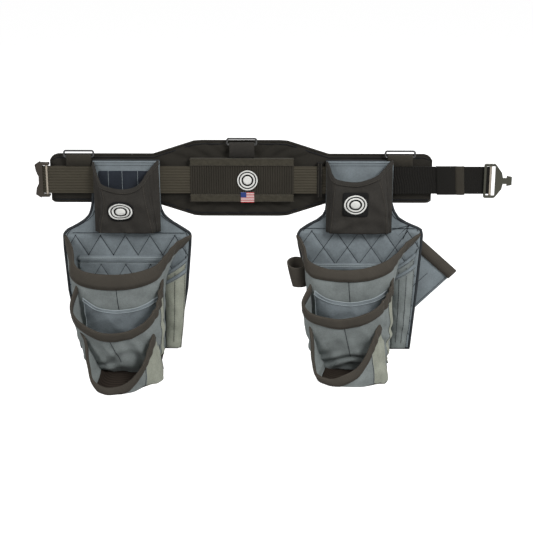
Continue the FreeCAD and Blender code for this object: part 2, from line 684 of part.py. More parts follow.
def build_pockets(side, middle_x):
    """Three pockets, each sewn to the front of the one behind it, with a webbing lip each."""
    upper, middle, lower = pocket_levels(side)
    y_panel = -(S.pouch_depth + S.cloth)
    mouths = pocket_mouths(side, y_panel)
    behind = None
    for name, levels, y_back in (("upper", upper, y_panel),
                                 ("middle", middle, y_panel - S.upper_foot_depth + S.middle_lap),
                                 ("lower", lower, y_panel - S.lower_heel)):
        outer = bag(levels, middle_x, y_back)
        wall_back = 0.0 if name == "upper" else S.cloth
        inner = bag(levels, middle_x, y_back - wall_back, grow=-S.cloth, floor=S.cloth)
        wall = outer.cut(inner)
        lip = bag(levels, middle_x, y_back, grow=S.lip_thick).cut(outer)
        if behind is not None:
            wall = wall.cut(behind)
            lip = lip.cut(behind)
        mouth = above(*mouths[name])
        lip_slab = above(*mouths[name], shift=S.lip_height).cut(mouth)
        shaped("%s_%s_pocket" % (side, name), biggest(wall.cut(mouth)))
        shaped("%s_%s_lip" % (side, name), biggest(lip.common(lip_slab)))
        behind = outer if behind is None else behind.fuse(outer)
    hem = bag(upper, middle_x, y_panel, grow=S.inner_thick).cut(bag(upper, middle_x, y_panel))
    inset = 2 * S.inner_margin
    foot = S.upper_foot - S.inner_gap
    width = S.middle_left + S.middle_right - 2 * inset
    window = Part.makeBox(width, S.upper_depth, foot - S.inner_front_drop,
                          Vector(middle_x - S.middle_left + inset, y_panel - S.upper_depth - inset, -foot))
    shaped(side + "_middle_inner_pocket", biggest(hem.common(window)))


def biggest(shape):
    """The largest solid of a result, as one solid."""
    return max(shape.Solids, key=lambda solid: solid.Volume)


def build_pouch(side, middle):
    """Back panel, belt tunnel, phone pocket, the three pockets and the tool sleeves."""
    right = [("tunnel_half", "tunnel_top"), ("neck_width", "-neck_drop"), ("shoulder_half", "-shoulder_drop"),
             ("foot_half", "-foot_drop")]
    corners = [("%s + %s" % (middle, u), v) for u, v in right]
    corners += [("%s - %s" % (middle, u), v) for u, v in reversed(right)]
    name = side + "_back_panel"
    keep(prism(name, "XZ_Plane", corners, "cloth", at=("0", "-pouch_depth", "0"),
               rounds=[((1, 6), "neck_radius"), ((3, 4), "foot_round")]), name)

    panel_front = "-(pouch_depth + cloth)"
    tunnel_front = "-(%s + soft_gap + cloth)" % WEB_FRONT
    span = ("%s - tunnel_half" % middle, "%s + tunnel_half" % middle)
    plate = block(side + "_tunnel_plate", span, (tunnel_front, tunnel_front + " + cloth"),
                  ("-phone_drop", "tunnel_top"))
    inside = "web_width / 2 + sewn_play"
    top_seam = block(side + "_tunnel_top_seam", span, (tunnel_front, panel_front), (inside, "tunnel_top"))
    low_seam = block(side + "_tunnel_low_seam", span, (tunnel_front, panel_front),
                     ("-(%s + tunnel_sew)" % inside, "-(%s)" % inside))
    keep(fuse(side + "_belt_tunnel", [plate, top_seam, low_seam]), side + "_belt_tunnel")

    middle_x = number(middle)
    build_phone_pocket(side, middle_x, number(tunnel_front))
    build_pockets(side, middle_x)
    near, far = middle + " - (upper_front_left - inner_margin)", middle + " + side_line - inner_margin"
    foot = "-(upper_foot - inner_gap)"
    hem = [(near, "-inner_drop"), (far, "-inner_drop"), (far, foot), (near, foot)]
    name = side + "_upper_inner_pocket"
    keep(prism(name, "XZ_Plane", hem, "inner_thick", at=("0", panel_front, "0")), name)
    build_sleeves(side, middle_x)


def build_phone_pocket(side, middle_x, y_back):
    """A soft pocket over the tunnel with a deep scooped mouth."""

    def form(grow, floor):
        wires = []
        for z, depth, half in ((-S.phone_drop + floor, 0.5 * S.phone_depth, S.phone_half),
                               (-0.35 * S.phone_drop, S.phone_depth, S.phone_half),
                               (S.tunnel_top + floor, 0.5 * S.phone_depth, S.phone_half - 2)):
            back, front = half + grow, half - S.phone_side + grow
            wires.append(section(z, (middle_x - back, middle_x + back), (middle_x - front, middle_x + front),
                                 y_back, y_back - depth - grow, 0.5 * S.cloth_corner, 1.0))
        return Part.makeLoft(wires, True, True)

    wall = form(0.0, 0.0).cut(form(-S.cloth, S.cloth))
    reach = S.phone_half - S.phone_side
    rim = S.tunnel_top + 1
    scoop_drop = S.right_scoop if side == "right" else S.phone_scoop
    left, low, right = (Vector(middle_x - reach, 0, rim), Vector(middle_x, 0, -scoop_drop),
                        Vector(middle_x + reach, 0, rim))
    rim_line = Part.LineSegment(right, left).toShape()
    scoop = Part.Face(Part.Wire([Part.Arc(left, low, right).toShape(), rim_line]))
    scoop = scoop.extrude(Vector(0, -2 * S.shoulder_half, 0))
    shaped(side + "_phone_pocket", biggest(wall.cut(scoop)))
    if side == "left":
        low_edge = -S.phone_drop + S.lip_thick + S.cloth
        half = S.phone_half - S.divider_inset
        divider = Part.makeBox(2 * half, S.inner_thick, S.divider_rise - low_edge,
                               Vector(middle_x - half, y_back - S.inner_thick, low_edge))
        shaped("left_phone_divider", divider)


def build_sleeves(side, middle_x):
    """Two flat tool sleeves, one in front of the other, with sloping mouths."""
    y0 = -(S.pouch_depth + S.cloth)
    for index, name in enumerate(("back", "front")):
        x0 = middle_x + S.sleeve_from
        x1 = x0 + S.sleeve_width
        low = -(S.foot_drop - 1)
        mouth = -(S.sleeve_drop + index * S.sleeve_step)
        y1 = y0 - S.sleeve_depth

        def flat(grow, floor, y_from, y_to):
            near, far = x0 + grow, x1 - grow
            points = [Vector(near, y_from, mouth), Vector(far, y_from, mouth + S.sleeve_slope),
                      Vector(far - S.sleeve_lean, y_from, low + floor), Vector(near, y_from, low + floor)]
            if floor:
                points[0] += Vector(0, 0, S.sleeve_slope)
                points[1] += Vector(0, 0, S.sleeve_slope)
            return Part.Face(Part.makePolygon(points + points[:1])).extrude(Vector(0, y_to - y_from, 0))

        body = flat(0, 0, y0, y1).cut(flat(S.inner_thick, S.inner_thick, y0, y1 + S.inner_thick))
        shaped("%s_%s_sleeve" % (side, name), biggest(body))
        y0 = y1


def build_right_extras(middle_x):
    """The webbing loop for a tool and the turned sleeve behind the right pouch."""
    y_loop = -(S.pouch_depth + S.cloth + S.loop_depth / 2 + S.loop_gap)
    centre = Vector(middle_x - S.loop_out, y_loop, -S.loop_foot)

    def oval(grow):
        ring = Part.Ellipse(centre, S.loop_half + grow, S.loop_depth / 2 + grow)
        return Part.Face(Part.Wire([ring.toShape()])).extrude(Vector(0, 0, S.loop_foot - S.loop_top))

    levels = pocket_levels("right")[0]
    tube = oval(0.0).cut(oval(-S.loop_thick))
    tube = tube.cut(bag(levels, middle_x, -(S.pouch_depth + S.cloth)))
    tube = tube.cut(dict(finished)["right_upper_lip"].Shape)
    shaped("right_tool_loop", biggest(tube))

    turn = math.radians(S.square_turn)
    along = Vector(math.cos(turn), 0, -math.sin(turn))
    down = Vector(-math.sin(turn), 0, -math.cos(turn))
    y_front = -S.pouch_depth
    thick = 2 * S.square_wall + S.square_gap
    top = Vector(middle_x + S.square_out, y_front, -S.square_drop)

    def slab(inset, mouth, bottom, y_near, y_far):
        corners = [top + along * inset + down * mouth, top + along * (S.square_wide - inset) + down * mouth,
                   top + along * (S.square_wide - inset) + down * (S.square_long - bottom),
                   top + along * inset + down * (S.square_long - bottom)]
        corners = [Vector(p.x, y_near, p.z) for p in corners]
        return Part.Face(Part.makePolygon(corners + corners[:1])).extrude(Vector(0, y_far - y_near, 0))

    y_rear = y_front + thick
    sleeve = slab(0, 0, 0, y_front, y_rear).cut(slab(
        S.square_seam, -S.square_gap, S.square_seam, y_front + S.square_wall, y_rear - S.square_wall))
    shaped("right_square_sleeve", biggest(sleeve))
    band = slab(0, 0, S.square_long - S.band_width, y_front - S.band_thick, y_front)
    band = band.cut(dict(finished)["right_back_panel"].Shape)
    shaped("right_sleeve_band", biggest(band))


# ---------------------------------------------------------------- assembly
build_pad()
build_web()
build_panel()
build_rings()
build_socket()
build_tongue()
for pouch_side, pouch_middle in (("left", "pouch_left"), ("right", "pouch_right")):
    build_pouch(pouch_side, pouch_middle)
build_right_extras(S.pouch_right)
doc.recompute()

for item in doc.Objects:
    if "Invalid" in item.State or "Error" in item.State:
        raise RuntimeError("%s did not build: %s" % (item.Name, item.State))
for label, item in finished:
    if item.Shape.isNull() or not item.Shape.isValid():
        raise RuntimeError("%s has no valid shape" % label)

os.makedirs("parts", exist_ok=True)
for label, item in finished:
    item.Shape.exportStep(os.path.join("parts", label + ".step"))
print("%d sub-parts written" % len(finished))
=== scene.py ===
"""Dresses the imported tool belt: padded belt, webbing, pouches, stitching, finishes and stage."""

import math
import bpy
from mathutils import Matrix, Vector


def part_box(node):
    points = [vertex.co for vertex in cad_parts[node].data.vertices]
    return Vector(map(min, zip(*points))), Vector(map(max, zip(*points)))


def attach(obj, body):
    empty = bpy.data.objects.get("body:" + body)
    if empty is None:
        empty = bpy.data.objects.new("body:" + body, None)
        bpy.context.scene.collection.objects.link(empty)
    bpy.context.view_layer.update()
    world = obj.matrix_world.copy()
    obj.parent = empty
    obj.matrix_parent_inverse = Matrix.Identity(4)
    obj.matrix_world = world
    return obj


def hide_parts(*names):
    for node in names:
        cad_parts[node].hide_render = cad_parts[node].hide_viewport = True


bl_info = {
    "name": "Tool belt dressing",
    "version": (1, 0, 0),
    "blender": (4, 5, 0),
    "location": "View3D > Sidebar > Tool Belt",
    "description": "Builds the cloth, webbing, stitching and finishes of a tool belt round its frame",
    "category": "Object",
}

import bmesh
import bpy
from bpy.props import FloatProperty, FloatVectorProperty, IntProperty, PointerProperty
from mathutils import Vector, noise

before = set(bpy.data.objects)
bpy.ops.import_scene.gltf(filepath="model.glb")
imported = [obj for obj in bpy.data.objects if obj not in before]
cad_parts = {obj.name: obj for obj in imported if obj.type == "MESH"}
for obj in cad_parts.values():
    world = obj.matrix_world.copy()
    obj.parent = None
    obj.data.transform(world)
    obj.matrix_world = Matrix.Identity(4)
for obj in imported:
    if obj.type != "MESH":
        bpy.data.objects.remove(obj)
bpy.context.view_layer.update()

MM = 0.001


# ---------------------------------------------------------------- sizes and colours a user may change
def rgb(red, green, blue):
    """Linear colour from screen values of 0 to 255."""
    return tuple((c / 255 / 12.92) if c / 255 <= 0.04045 else ((c / 255 + 0.055) / 1.055) ** 2.4
                 for c in (red, green, blue)) + (1.0,)


class BeltClothSettings(bpy.types.PropertyGroup):
    """Cloth, quilting and stitching."""

    cloth: FloatProperty(name="Cloth", description="Thickness of the pouch cloth", default=1.8 * MM,
                         unit="LENGTH")
    lip: FloatProperty(name="Lip", description="Thickness of the lip webbing", default=1.3 * MM,
                       unit="LENGTH")
    lip_height: FloatProperty(name="Lip height", description="Webbing folded over the upper mouth",
                              default=24.0 * MM, unit="LENGTH")
    low_lip_height: FloatProperty(name="Low lip height", description="Webbing folded over the lower mouths",
                                  default=17.0 * MM, unit="LENGTH")
    crease: FloatProperty(name="Crease", description="Depth of the slack folds", default=1.4 * MM,
                          unit="LENGTH")
    crumple: FloatProperty(name="Crumple", description="How far the cloth wrinkles", default=1.3 * MM,
                           unit="LENGTH")
    quilt_puff: FloatProperty(name="Quilt puff", description="Height of the quilting between its seams",
                              default=2.2 * MM, unit="LENGTH")
    stitch_pitch: FloatProperty(name="Stitch pitch", description="From one stitch to the next",
                                default=3.2 * MM, unit="LENGTH")
    stitch_radius: FloatProperty(name="Stitch radius", description="Half thickness of the thread",
                                 default=0.42 * MM, unit="LENGTH")


class BeltWebSettings(bpy.types.PropertyGroup):
    """Webbing and the ribbed centre panel."""

    rib_pitch: FloatProperty(name="Rib pitch", description="Ribs along the webbing", default=5.1 * MM,
                             unit="LENGTH")
    rib_relief: FloatProperty(name="Rib relief", description="Height of the ribs", default=0.9 * MM,
                              unit="LENGTH")
    panel_ribs: IntProperty(name="Panel ribs", description="Upright ribs on the centre panel", default=44,
                            min=2)
    panel_rib_radius: FloatProperty(name="Panel rib radius", description="Half width of an upright rib",
                                    default=1.75 * MM, unit="LENGTH")


class BeltStageSettings(bpy.types.PropertyGroup):
    """Camera, lamps and backdrop."""

    azimuth: FloatProperty(name="Azimuth", description="Camera angle round the belt",
                           default=math.radians(0.5),
                           subtype="ANGLE")
    elevation: FloatProperty(name="Elevation", description="Camera angle above the belt",
                             default=math.radians(18.0), subtype="ANGLE")
    distance: FloatProperty(name="Distance", description="Camera to the middle of the view", default=2.4,
                            unit="LENGTH")
    field: FloatProperty(name="Field", description="Width of the view at that distance", default=0.9815,
                         unit="LENGTH")
    lamp: FloatProperty(name="Lamp", description="Strength of the main lamp", default=60.0)
    fill: FloatProperty(name="Fill", description="Strength of the world light", default=0.27)


def screen_colour(name, words, red, green, blue):
    """A colour property, given as the values a screen shows, from 0 to 255."""
    return FloatVectorProperty(name=name, description=words, default=rgb(red, green, blue)[:3],
                               subtype="COLOR",
                               min=0.0, max=1.0)


class BeltColourSettings(bpy.types.PropertyGroup):
    """Colours of the cloths, webbings, threads and metals."""

    pouch: screen_colour("Pouch cloth", "Front cloth of the pockets", 121, 127, 126)
    # Lighter than the pouch cloth, for the sides that face the main lamp: painted light.
    lit_side: screen_colour("Gusset cloth", "Side cloth of the pockets and the sleeves", 146, 149, 137)
    inner: screen_colour("Inner cloth", "Quilted back and inner pockets", 114, 122, 126)
    black: screen_colour("Black cloth", "Phone pockets and the centre ring's tab", 50, 48, 45)
    divider: screen_colour("Divider cloth", "Divider of the phone pocket", 42, 46, 53)
    pad: screen_colour("Pad cloth", "Cover of the padded belt", 40, 38, 34)
    lip: screen_colour("Lip webbing", "Tape over the pocket mouths", 68, 64, 58)
    web: screen_colour("Belt webbing", "Main webbing", 64, 60, 51)
    tail: screen_colour("Tail webbing", "Webbing towards the tongue", 25, 24, 22)
    panel: screen_colour("Panel webbing", "Ribbed centre panel", 52, 49, 43)
    tape: screen_colour("Loop tape", "Fuzzy tapes of the centre panel", 58, 55, 47)
    binding: screen_colour("Binding tape", "Tape round the back panels", 52, 55, 58)
    light_thread: screen_colour("Light thread", "Light seams", 150, 159, 162)
    dark_thread: screen_colour("Dark thread", "Dark seams", 24, 26, 30)
    emblem: screen_colour("Emblem", "Plain rings of the labels", 216, 216, 212)
    bronze: screen_colour("Socket metal", "Plates and clips of the socket", 50, 44, 37)
    olive: screen_colour("Tongue metal", "Frame of the tongue", 58, 58, 49)


SETTINGS = (("belt_cloth", BeltClothSettings), ("belt_webbing", BeltWebSettings),
            ("belt_stage", BeltStageSettings),
            ("belt_colours", BeltColourSettings))


def cloth():
    """The sizes of the pockets' cloth, as set in the panel."""
    return bpy.context.scene.belt_cloth


def webbing():
    """The sizes of the webbing, as set in the panel."""
    return bpy.context.scene.belt_webbing


# ---------------------------------------------------------------- shader node groups
def node_group(name, inputs, outputs):
    """A shader node group with float or colour sockets, and its two end nodes."""
    group = bpy.data.node_groups.new(name, "ShaderNodeTree")
    for label, kind, value in inputs:
        socket = group.interface.new_socket(label, in_out="INPUT", socket_type=kind)
        socket.default_value = value
    for label, kind in outputs:
        group.interface.new_socket(label, in_out="OUTPUT", socket_type=kind)
    start = group.nodes.new("NodeGroupInput")
    end = group.nodes.new("NodeGroupOutput")
    return group, start, end


def math_node(tree, operation, first, second=None):
    """One step of arithmetic in a node tree."""
    node = tree.nodes.new("ShaderNodeMath")
    node.operation = operation
    for index, value in enumerate((first, second)):
        if value is None:
            continue
        if isinstance(value, (int, float)):
            node.inputs[index].default_value = value
        else:
            tree.links.new(value, node.inputs[index])
    return node.outputs[0]


def wave(tree, vector, scale, direction):
    """Even bands across one direction; scale is bands per metre."""
    node = tree.nodes.new("ShaderNodeTexWave")
    node.bands_direction = direction
    node.inputs["Scale"].default_value = scale / 3.1831
    tree.links.new(vector, node.inputs["Vector"])
    return node.outputs["Fac"]


def build_weave():
    """Plain weave read from the piece's own metric UV map."""
    group, start, end = node_group("Weave", [("Threads", "NodeSocketFloat", 600.0)],
                                   [("Height", "NodeSocketFloat"), ("Shade", "NodeSocketFloat")])
    uv = group.nodes.new("ShaderNodeUVMap")
    uv.uv_map = "metric"
    scale = group.nodes.new("ShaderNodeVectorMath")
    scale.operation = "SCALE"
    group.links.new(uv.outputs[0], scale.inputs[0])
    group.links.new(start.outputs["Threads"], scale.inputs["Scale"])
    checker = group.nodes.new("ShaderNodeTexChecker")
    checker.inputs["Scale"].default_value = 1.0
    group.links.new(scale.outputs[0], checker.inputs["Vector"])
    along = wave(group, scale.outputs[0], 1.0, "X")
    across = wave(group, scale.outputs[0], 1.0, "Y")
    high = math_node(group, "MULTIPLY", along, checker.outputs["Fac"])
    flip = math_node(group, "SUBTRACT", 1.0, checker.outputs["Fac"])
    low = math_node(group, "MULTIPLY", across, flip)
    total = math_node(group, "ADD", high, low)
    group.links.new(total, end.inputs["Height"])
    # Colour darker in the weave's hollows: painted shade.
    shade = math_node(group, "MULTIPLY_ADD", total, 0.18)
    shade.node.inputs[2].default_value = 0.88
    group.links.new(shade, end.inputs["Shade"])
    return group


def build_mottle():
    """Slow and fast variation between two colours, from object coordinates."""
    group, start, end = node_group("Mottle", [
        ("Dark", "NodeSocketColor", (0.1, 0.1, 0.1, 1)), ("Light", "NodeSocketColor", (0.3, 0.3, 0.3, 1)),
        ("Shade", "NodeSocketFloat", 1.0), ("Patch", "NodeSocketFloat", 22.0),
                                              ("Grain", "NodeSocketFloat", 900.0)],
        [("Color", "NodeSocketColor"), ("Wear", "NodeSocketFloat")])
    coords = group.nodes.new("ShaderNodeTexCoord")
    slow = group.nodes.new("ShaderNodeTexNoise")
    slow.inputs["Detail"].default_value = 4.0
    fast = group.nodes.new("ShaderNodeTexNoise")
    fast.inputs["Detail"].default_value = 1.0
    for tex, socket in ((slow, "Patch"), (fast, "Grain")):
        group.links.new(coords.outputs["Object"], tex.inputs["Vector"])
        group.links.new(start.outputs[socket], tex.inputs["Scale"])
    both = math_node(group, "MULTIPLY_ADD", slow.outputs["Fac"], 0.7)
    group.links.new(math_node(group, "MULTIPLY", fast.outputs["Fac"], 0.3), both.node.inputs[2])
    mix = group.nodes.new("ShaderNodeMix")
    mix.data_type = "RGBA"
    group.links.new(both, mix.inputs["Factor"])
    group.links.new(start.outputs["Dark"], mix.inputs[6])
    group.links.new(start.outputs["Light"], mix.inputs[7])
    # The colour is scaled by the Shade input, which carries a pattern's painted shade.
    tone = group.nodes.new("ShaderNodeVectorMath")
    tone.operation = "SCALE"
    group.links.new(mix.outputs[2], tone.inputs[0])
    group.links.new(start.outputs["Shade"], tone.inputs["Scale"])
    group.links.new(tone.outputs[0], end.inputs["Color"])
    group.links.new(slow.outputs["Fac"], end.inputs["Wear"])
    return group


def build_ribs():
    """Raised cords along webbing, across one axis of the metric UV map."""
    group, start, end = node_group("Ribs", [("Pitch", "NodeSocketFloat", 0.002),
                                            ("Turn", "NodeSocketFloat", 0.0)],
                                   [("Height", "NodeSocketFloat"), ("Shade", "NodeSocketFloat")])
    uv = group.nodes.new("ShaderNodeUVMap")
    uv.uv_map = "metric"
    turn = group.nodes.new("ShaderNodeVectorRotate")
    turn.rotation_type = "Z_AXIS"
    group.links.new(uv.outputs[0], turn.inputs["Vector"])
    group.links.new(start.outputs["Turn"], turn.inputs["Angle"])
    split = group.nodes.new("ShaderNodeSeparateXYZ")
    group.links.new(turn.outputs[0], split.inputs[0])
    phase = math_node(group, "DIVIDE", split.outputs["Y"], start.outputs["Pitch"])
    cycle = math_node(group, "MULTIPLY", phase, math.tau)
    cosine = math_node(group, "COSINE", cycle)
    height = math_node(group, "MULTIPLY_ADD", cosine, 0.5)
    height.node.inputs[2].default_value = 0.5
    group.links.new(height, end.inputs["Height"])
    # Colour darker between the ribs and lighter on them: painted shade and light.
    shade = math_node(group, "MULTIPLY_ADD", height, 0.5)
    shade.node.inputs[2].default_value = 0.7
    group.links.new(shade, end.inputs["Shade"])
    return group


GROUPS = {}
FINISHES = {}


def use_group(tree, name, **values):
    """A node that calls a tree by its name."""
    node = tree.nodes.new("ShaderNodeGroup")
    node.node_tree = GROUPS[name]
    for label, value in values.items():
        node.inputs[label].default_value = value
    return node


def finish(name, colour, contrast=0.25, roughness=0.85, metallic=0.0, relief=None, pitch=600.0, turn=0.0,
           depth=0.4, patch=22.0, grain=900.0, sheen=0.0, coat=0.0):
    """A material mottled about one of the belt's colours, with weave, ribs or grain as its relief."""
    tone = getattr(bpy.context.scene.belt_colours, colour) if isinstance(colour, str) else rgb(*colour)[:3]
    dark = tuple(c * (1 - contrast) ** 1.6 for c in tone) + (1.0,)
    light = tuple(c * (1 + contrast) ** 1.6 for c in tone) + (1.0,)
    material = bpy.data.materials.new(name)
    material.use_nodes = True
    tree = material.node_tree
    shader = tree.nodes["Principled BSDF"]
    shader.inputs["Metallic"].default_value = metallic
    shader.inputs["Sheen Weight"].default_value = sheen
    shader.inputs["Sheen Roughness"].default_value = 0.45
    shader.inputs["Coat Weight"].default_value = coat
    shader.inputs["Specular IOR Level"].default_value = 0.5 if coat or metallic else 0.1
    mottle = use_group(tree, "Mottle", Dark=dark, Light=light, Patch=patch, Grain=grain)
    tree.links.new(mottle.outputs["Color"], shader.inputs["Base Color"])
    rough = math_node(tree, "MULTIPLY_ADD", mottle.outputs["Wear"], 0.16)
    rough.node.inputs[2].default_value = roughness - 0.08
    tree.links.new(rough, shader.inputs["Roughness"])
    bump = tree.nodes.new("ShaderNodeBump")
    bump.inputs["Strength"].default_value = depth
    if relief == "weave":
        pattern = use_group(tree, "Weave", Threads=pitch)
        bump.inputs["Distance"].default_value = 0.25 * MM
    elif relief == "ribs":
        pattern = use_group(tree, "Ribs", Pitch=pitch, Turn=turn)
        bump.inputs["Distance"].default_value = 0.35 * MM
    else:
        pattern = None
        bump.inputs["Distance"].default_value = 0.3 * MM
    if pattern:
        tree.links.new(pattern.outputs["Height"], bump.inputs["Height"])
        # The pattern darkens the colour in its hollows: painted shade.
        tree.links.new(pattern.outputs["Shade"], mottle.inputs["Shade"])
    else:
        tree.links.new(mottle.outputs["Wear"], bump.inputs["Height"])
    tree.links.new(bump.outputs["Normal"], shader.inputs["Normal"])
    FINISHES[name] = material
    return material


def build_finishes():
    """Every finish of the belt, in its maker's words."""
    GROUPS["Weave"] = build_weave()
    GROUPS["Mottle"] = build_mottle()
    GROUPS["Ribs"] = build_ribs()
    cordura = dict(relief="weave", pitch=900, sheen=0.03, contrast=0.34, patch=34, grain=330)
    finish("grey_cordura", "pouch", **cordura)
    # A lighter copy of the pocket cloth for the sides that face the main lamp: painted light.
    finish("lit_side_cordura", "lit_side", **cordura)
    finish("blue_cordura", "inner", **cordura)
    finish("black_cordura", "black", **cordura)
    finish("divider_cloth", "divider", **cordura)
    finish("pad_cordura", "pad", relief="weave", pitch=700, sheen=0.03, contrast=0.28)
    finish("lip_webbing", "lip", relief="ribs", pitch=0.0021, depth=0.5, sheen=0.03, contrast=0.22)
    finish("belt_webbing", "web", relief="weave", pitch=900, sheen=0.03)
    finish("tail_webbing", "tail", relief="weave", pitch=900, sheen=0.03)
    finish("panel_webbing", "panel", relief="weave", pitch=900, sheen=0.03)
    finish("loop_tape", "tape", roughness=0.95, depth=1.0, patch=160, grain=1500, sheen=0.1, contrast=0.35)
    finish("binding_tape", "binding", relief="ribs", pitch=0.002, depth=0.4)
    finish("bare_label", "emblem", 0.06, 0.7, relief="weave", pitch=1200, depth=0.2)
    finish("label_cloth", (24, 24, 24), 0.2, 0.8, relief="weave", pitch=1200, depth=0.2)
    finish("floor_cloth", (44, 38, 33), 0.3, 0.9, relief="ribs", pitch=0.006, depth=0.6)
    finish("lip_thread", (74, 70, 64), 0.15, 0.6)
    finish("light_thread", "light_thread", 0.1, 0.6)
    finish("dark_thread", "dark_thread", 0.1, 0.6)
    finish("red_yarn", (170, 50, 54), 0.15, 0.8)
    finish("blue_yarn", (50, 65, 118), 0.15, 0.8)
    finish("black_wire", (30, 30, 30), 0.3, 0.35, coat=0.4, depth=0.1)
    finish("bronze_alloy", "bronze", 0.25, 0.42, metallic=0.55, depth=0.15)
    finish("olive_alloy", "olive", 0.25, 0.38, metallic=0.6, depth=0.12)
    finish("bare_steel", (148, 140, 128), 0.2, 0.32, metallic=0.9, depth=0.1)


# ---------------------------------------------------------------- mesh helpers
def close_up(mesh, outward):
    """Merge seams and poles, and on a closed form fill its ends and turn every face outwards."""
    form = bmesh.new()
    form.from_mesh(mesh)
    bmesh.ops.remove_doubles(form, verts=form.verts, dist=1e-6)
    if outward:
        bmesh.ops.holes_fill(form, edges=[edge for edge in form.edges if edge.is_boundary])
        bmesh.ops.recalc_face_normals(form, faces=form.faces)
    form.to_mesh(mesh)
    form.free()


def new_object(name, vertices, edges, faces):
    """An object in the scene from plain lists."""
    mesh = bpy.data.meshes.new(name)
    mesh.from_pydata([tuple(v) for v in vertices], edges, faces)
    piece = bpy.data.objects.new(name, mesh)
    bpy.context.collection.objects.link(piece)
    return piece


def add_piece(name, vertices, faces, material, body, replaces=(), slot=None, thickness=None, smooth=True,
              uvs=None):
    """A finished piece that rides on a body; without a thickness it is a closed form."""
    piece = new_object(name, vertices, [], faces)
    mesh = piece.data
    if uvs:
        layer = mesh.uv_layers.new(name="metric")
        for loop in mesh.loops:
            layer.data[loop.index].uv = uvs[loop.vertex_index]
    close_up(mesh, not thickness)
    mesh.polygons.foreach_set("use_smooth", [smooth] * len(mesh.polygons))
    mesh.materials.append(FINISHES[material])
    mesh.update()
    if thickness:
        solid = piece.modifiers.new("cloth", "SOLIDIFY")
        solid.thickness = thickness
        solid.offset = 0.0
    own(piece, body, replaces)
    return piece


def own(piece, body, replaces=()):
    """Hang a piece on its body, and hide the parts that it stands for."""
    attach(piece, body)
    if replaces:
        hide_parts(*replaces)


def grid_faces(rows, cols, wrap=False, start=0):
    """Four-cornered faces over a grid of points, closed round on itself where it wraps."""
    faces = []
    for r in range(rows - 1):
        for c in range(cols if wrap else cols - 1):
            n = (c + 1) % cols
            faces.append((start + r * cols + c, start + r * cols + n,
                          start + (r + 1) * cols + n, start + (r + 1) * cols + c))
    return faces


def metric_uvs(grid):
    """Distances along the rows and the columns, in metres."""
    uvs = []
    down = [0.0] * len(grid[0])
    for r, row in enumerate(grid):
        run = 0.0
        for c, point in enumerate(row):
            if c:
                run += (point - row[c - 1]).length
            if r:
                down[c] += (point - grid[r - 1][c]).length
            uvs.append((run, down[c]))
    return uvs


def sheet_piece(name, grid, material, body, wrap=False, **more):
    """A sheet through a grid of points."""
    vertices = [point for row in grid for point in row]
    return add_piece(name, vertices, grid_faces(len(grid), len(grid[0]), wrap), material, body,
                     uvs=metric_uvs(grid), **more)


def steps(count, low=0.0, high=1.0):
    """Evenly spaced values from low to high."""
    return [low + (high - low) * i / (count - 1) for i in range(count)]


def blend_keys(t, keys):
    """A value at t between (t, value) keys, along straight lines."""
    if t <= keys[0][0]:
        return keys[0][1]
    for (t0, v0), (t1, v1) in zip(keys, keys[1:]):
        if t <= t1:
            return v0 + (v1 - v0) * (t - t0) / (t1 - t0)
    return keys[-1][1]


def wrinkle(point, amount, size=0.045, seed=0.0):
    """A small seeded displacement that varies smoothly over the cloth."""
    where = point / size + Vector((seed, seed * 0.7, seed * 1.3))
    return amount * (noise.noise(where) + 0.5 * noise.noise(where * 2.3))


# ---------------------------------------------------------------- stitching by geometry nodes
def end_tree(tree, instances, material):
    """Turn a tree's instances into real faces of one material, and hand them out."""
    new, link = tree.nodes.new, tree.links.new
    real = new("GeometryNodeRealizeInstances")
    link(instances, real.inputs[0])
    paint = new("GeometryNodeSetMaterial")
    link(real.outputs[0], paint.inputs["Geometry"])
    link(material, paint.inputs["Material"])
    link(paint.outputs[0], new("NodeGroupOutput").inputs[0])


def stitch_tree():
    """Stitches laid end to end along every edge chain of the input mesh."""
    tree = bpy.data.node_groups.new("Stitch rows", "GeometryNodeTree")
    sockets = tree.interface
    sockets.new_socket("Geometry", in_out="INPUT", socket_type="NodeSocketGeometry")
    sockets.new_socket("Pitch", in_out="INPUT", socket_type="NodeSocketFloat")
    sockets.new_socket("Radius", in_out="INPUT", socket_type="NodeSocketFloat")
    sockets.new_socket("Thread", in_out="INPUT", socket_type="NodeSocketMaterial")
    sockets.new_socket("Geometry", in_out="OUTPUT", socket_type="NodeSocketGeometry")
    new, link = tree.nodes.new, tree.links.new
    start = new("NodeGroupInput")
    curve = new("GeometryNodeMeshToCurve")
    link(start.outputs["Geometry"], curve.inputs["Mesh"])
    even = new("GeometryNodeResampleCurve")
    even.mode = "LENGTH"
    link(curve.outputs[0], even.inputs["Curve"])
    link(start.outputs["Pitch"], even.inputs["Length"])
    bead = new("GeometryNodeMeshUVSphere")
    bead.inputs["Segments"].default_value = 6
    bead.inputs["Rings"].default_value = 4
    link(start.outputs["Radius"], bead.inputs["Radius"])
    tangent = new("GeometryNodeInputTangent")
    align = new("FunctionNodeAlignRotationToVector")
    align.axis = "Z"
    link(tangent.outputs[0], align.inputs["Vector"])
    place = new("GeometryNodeInstanceOnPoints")
    link(even.outputs[0], place.inputs["Points"])
    link(bead.outputs["Mesh"], place.inputs["Instance"])
    link(align.outputs[0], place.inputs["Rotation"])
    place.inputs["Scale"].default_value = (1.0, 1.0, 3.0)
    end_tree(tree, place.outputs[0], start.outputs["Thread"])
    return tree


def run_tree(piece, tree, values):
    """Apply a geometry nodes tree with named inputs, and keep the result as a plain mesh."""
    modifier = piece.modifiers.new("rule", "NODES")
    modifier.node_group = tree
    for item in tree.interface.items_tree:
        if item.in_out == "INPUT" and item.name in values:
            modifier[item.identifier] = values[item.name]
    graph = bpy.context.evaluated_depsgraph_get()
    graph.update()
    mesh = bpy.data.meshes.new_from_object(piece.evaluated_get(graph))
    piece.modifiers.remove(modifier)
    piece.data = mesh
    return piece


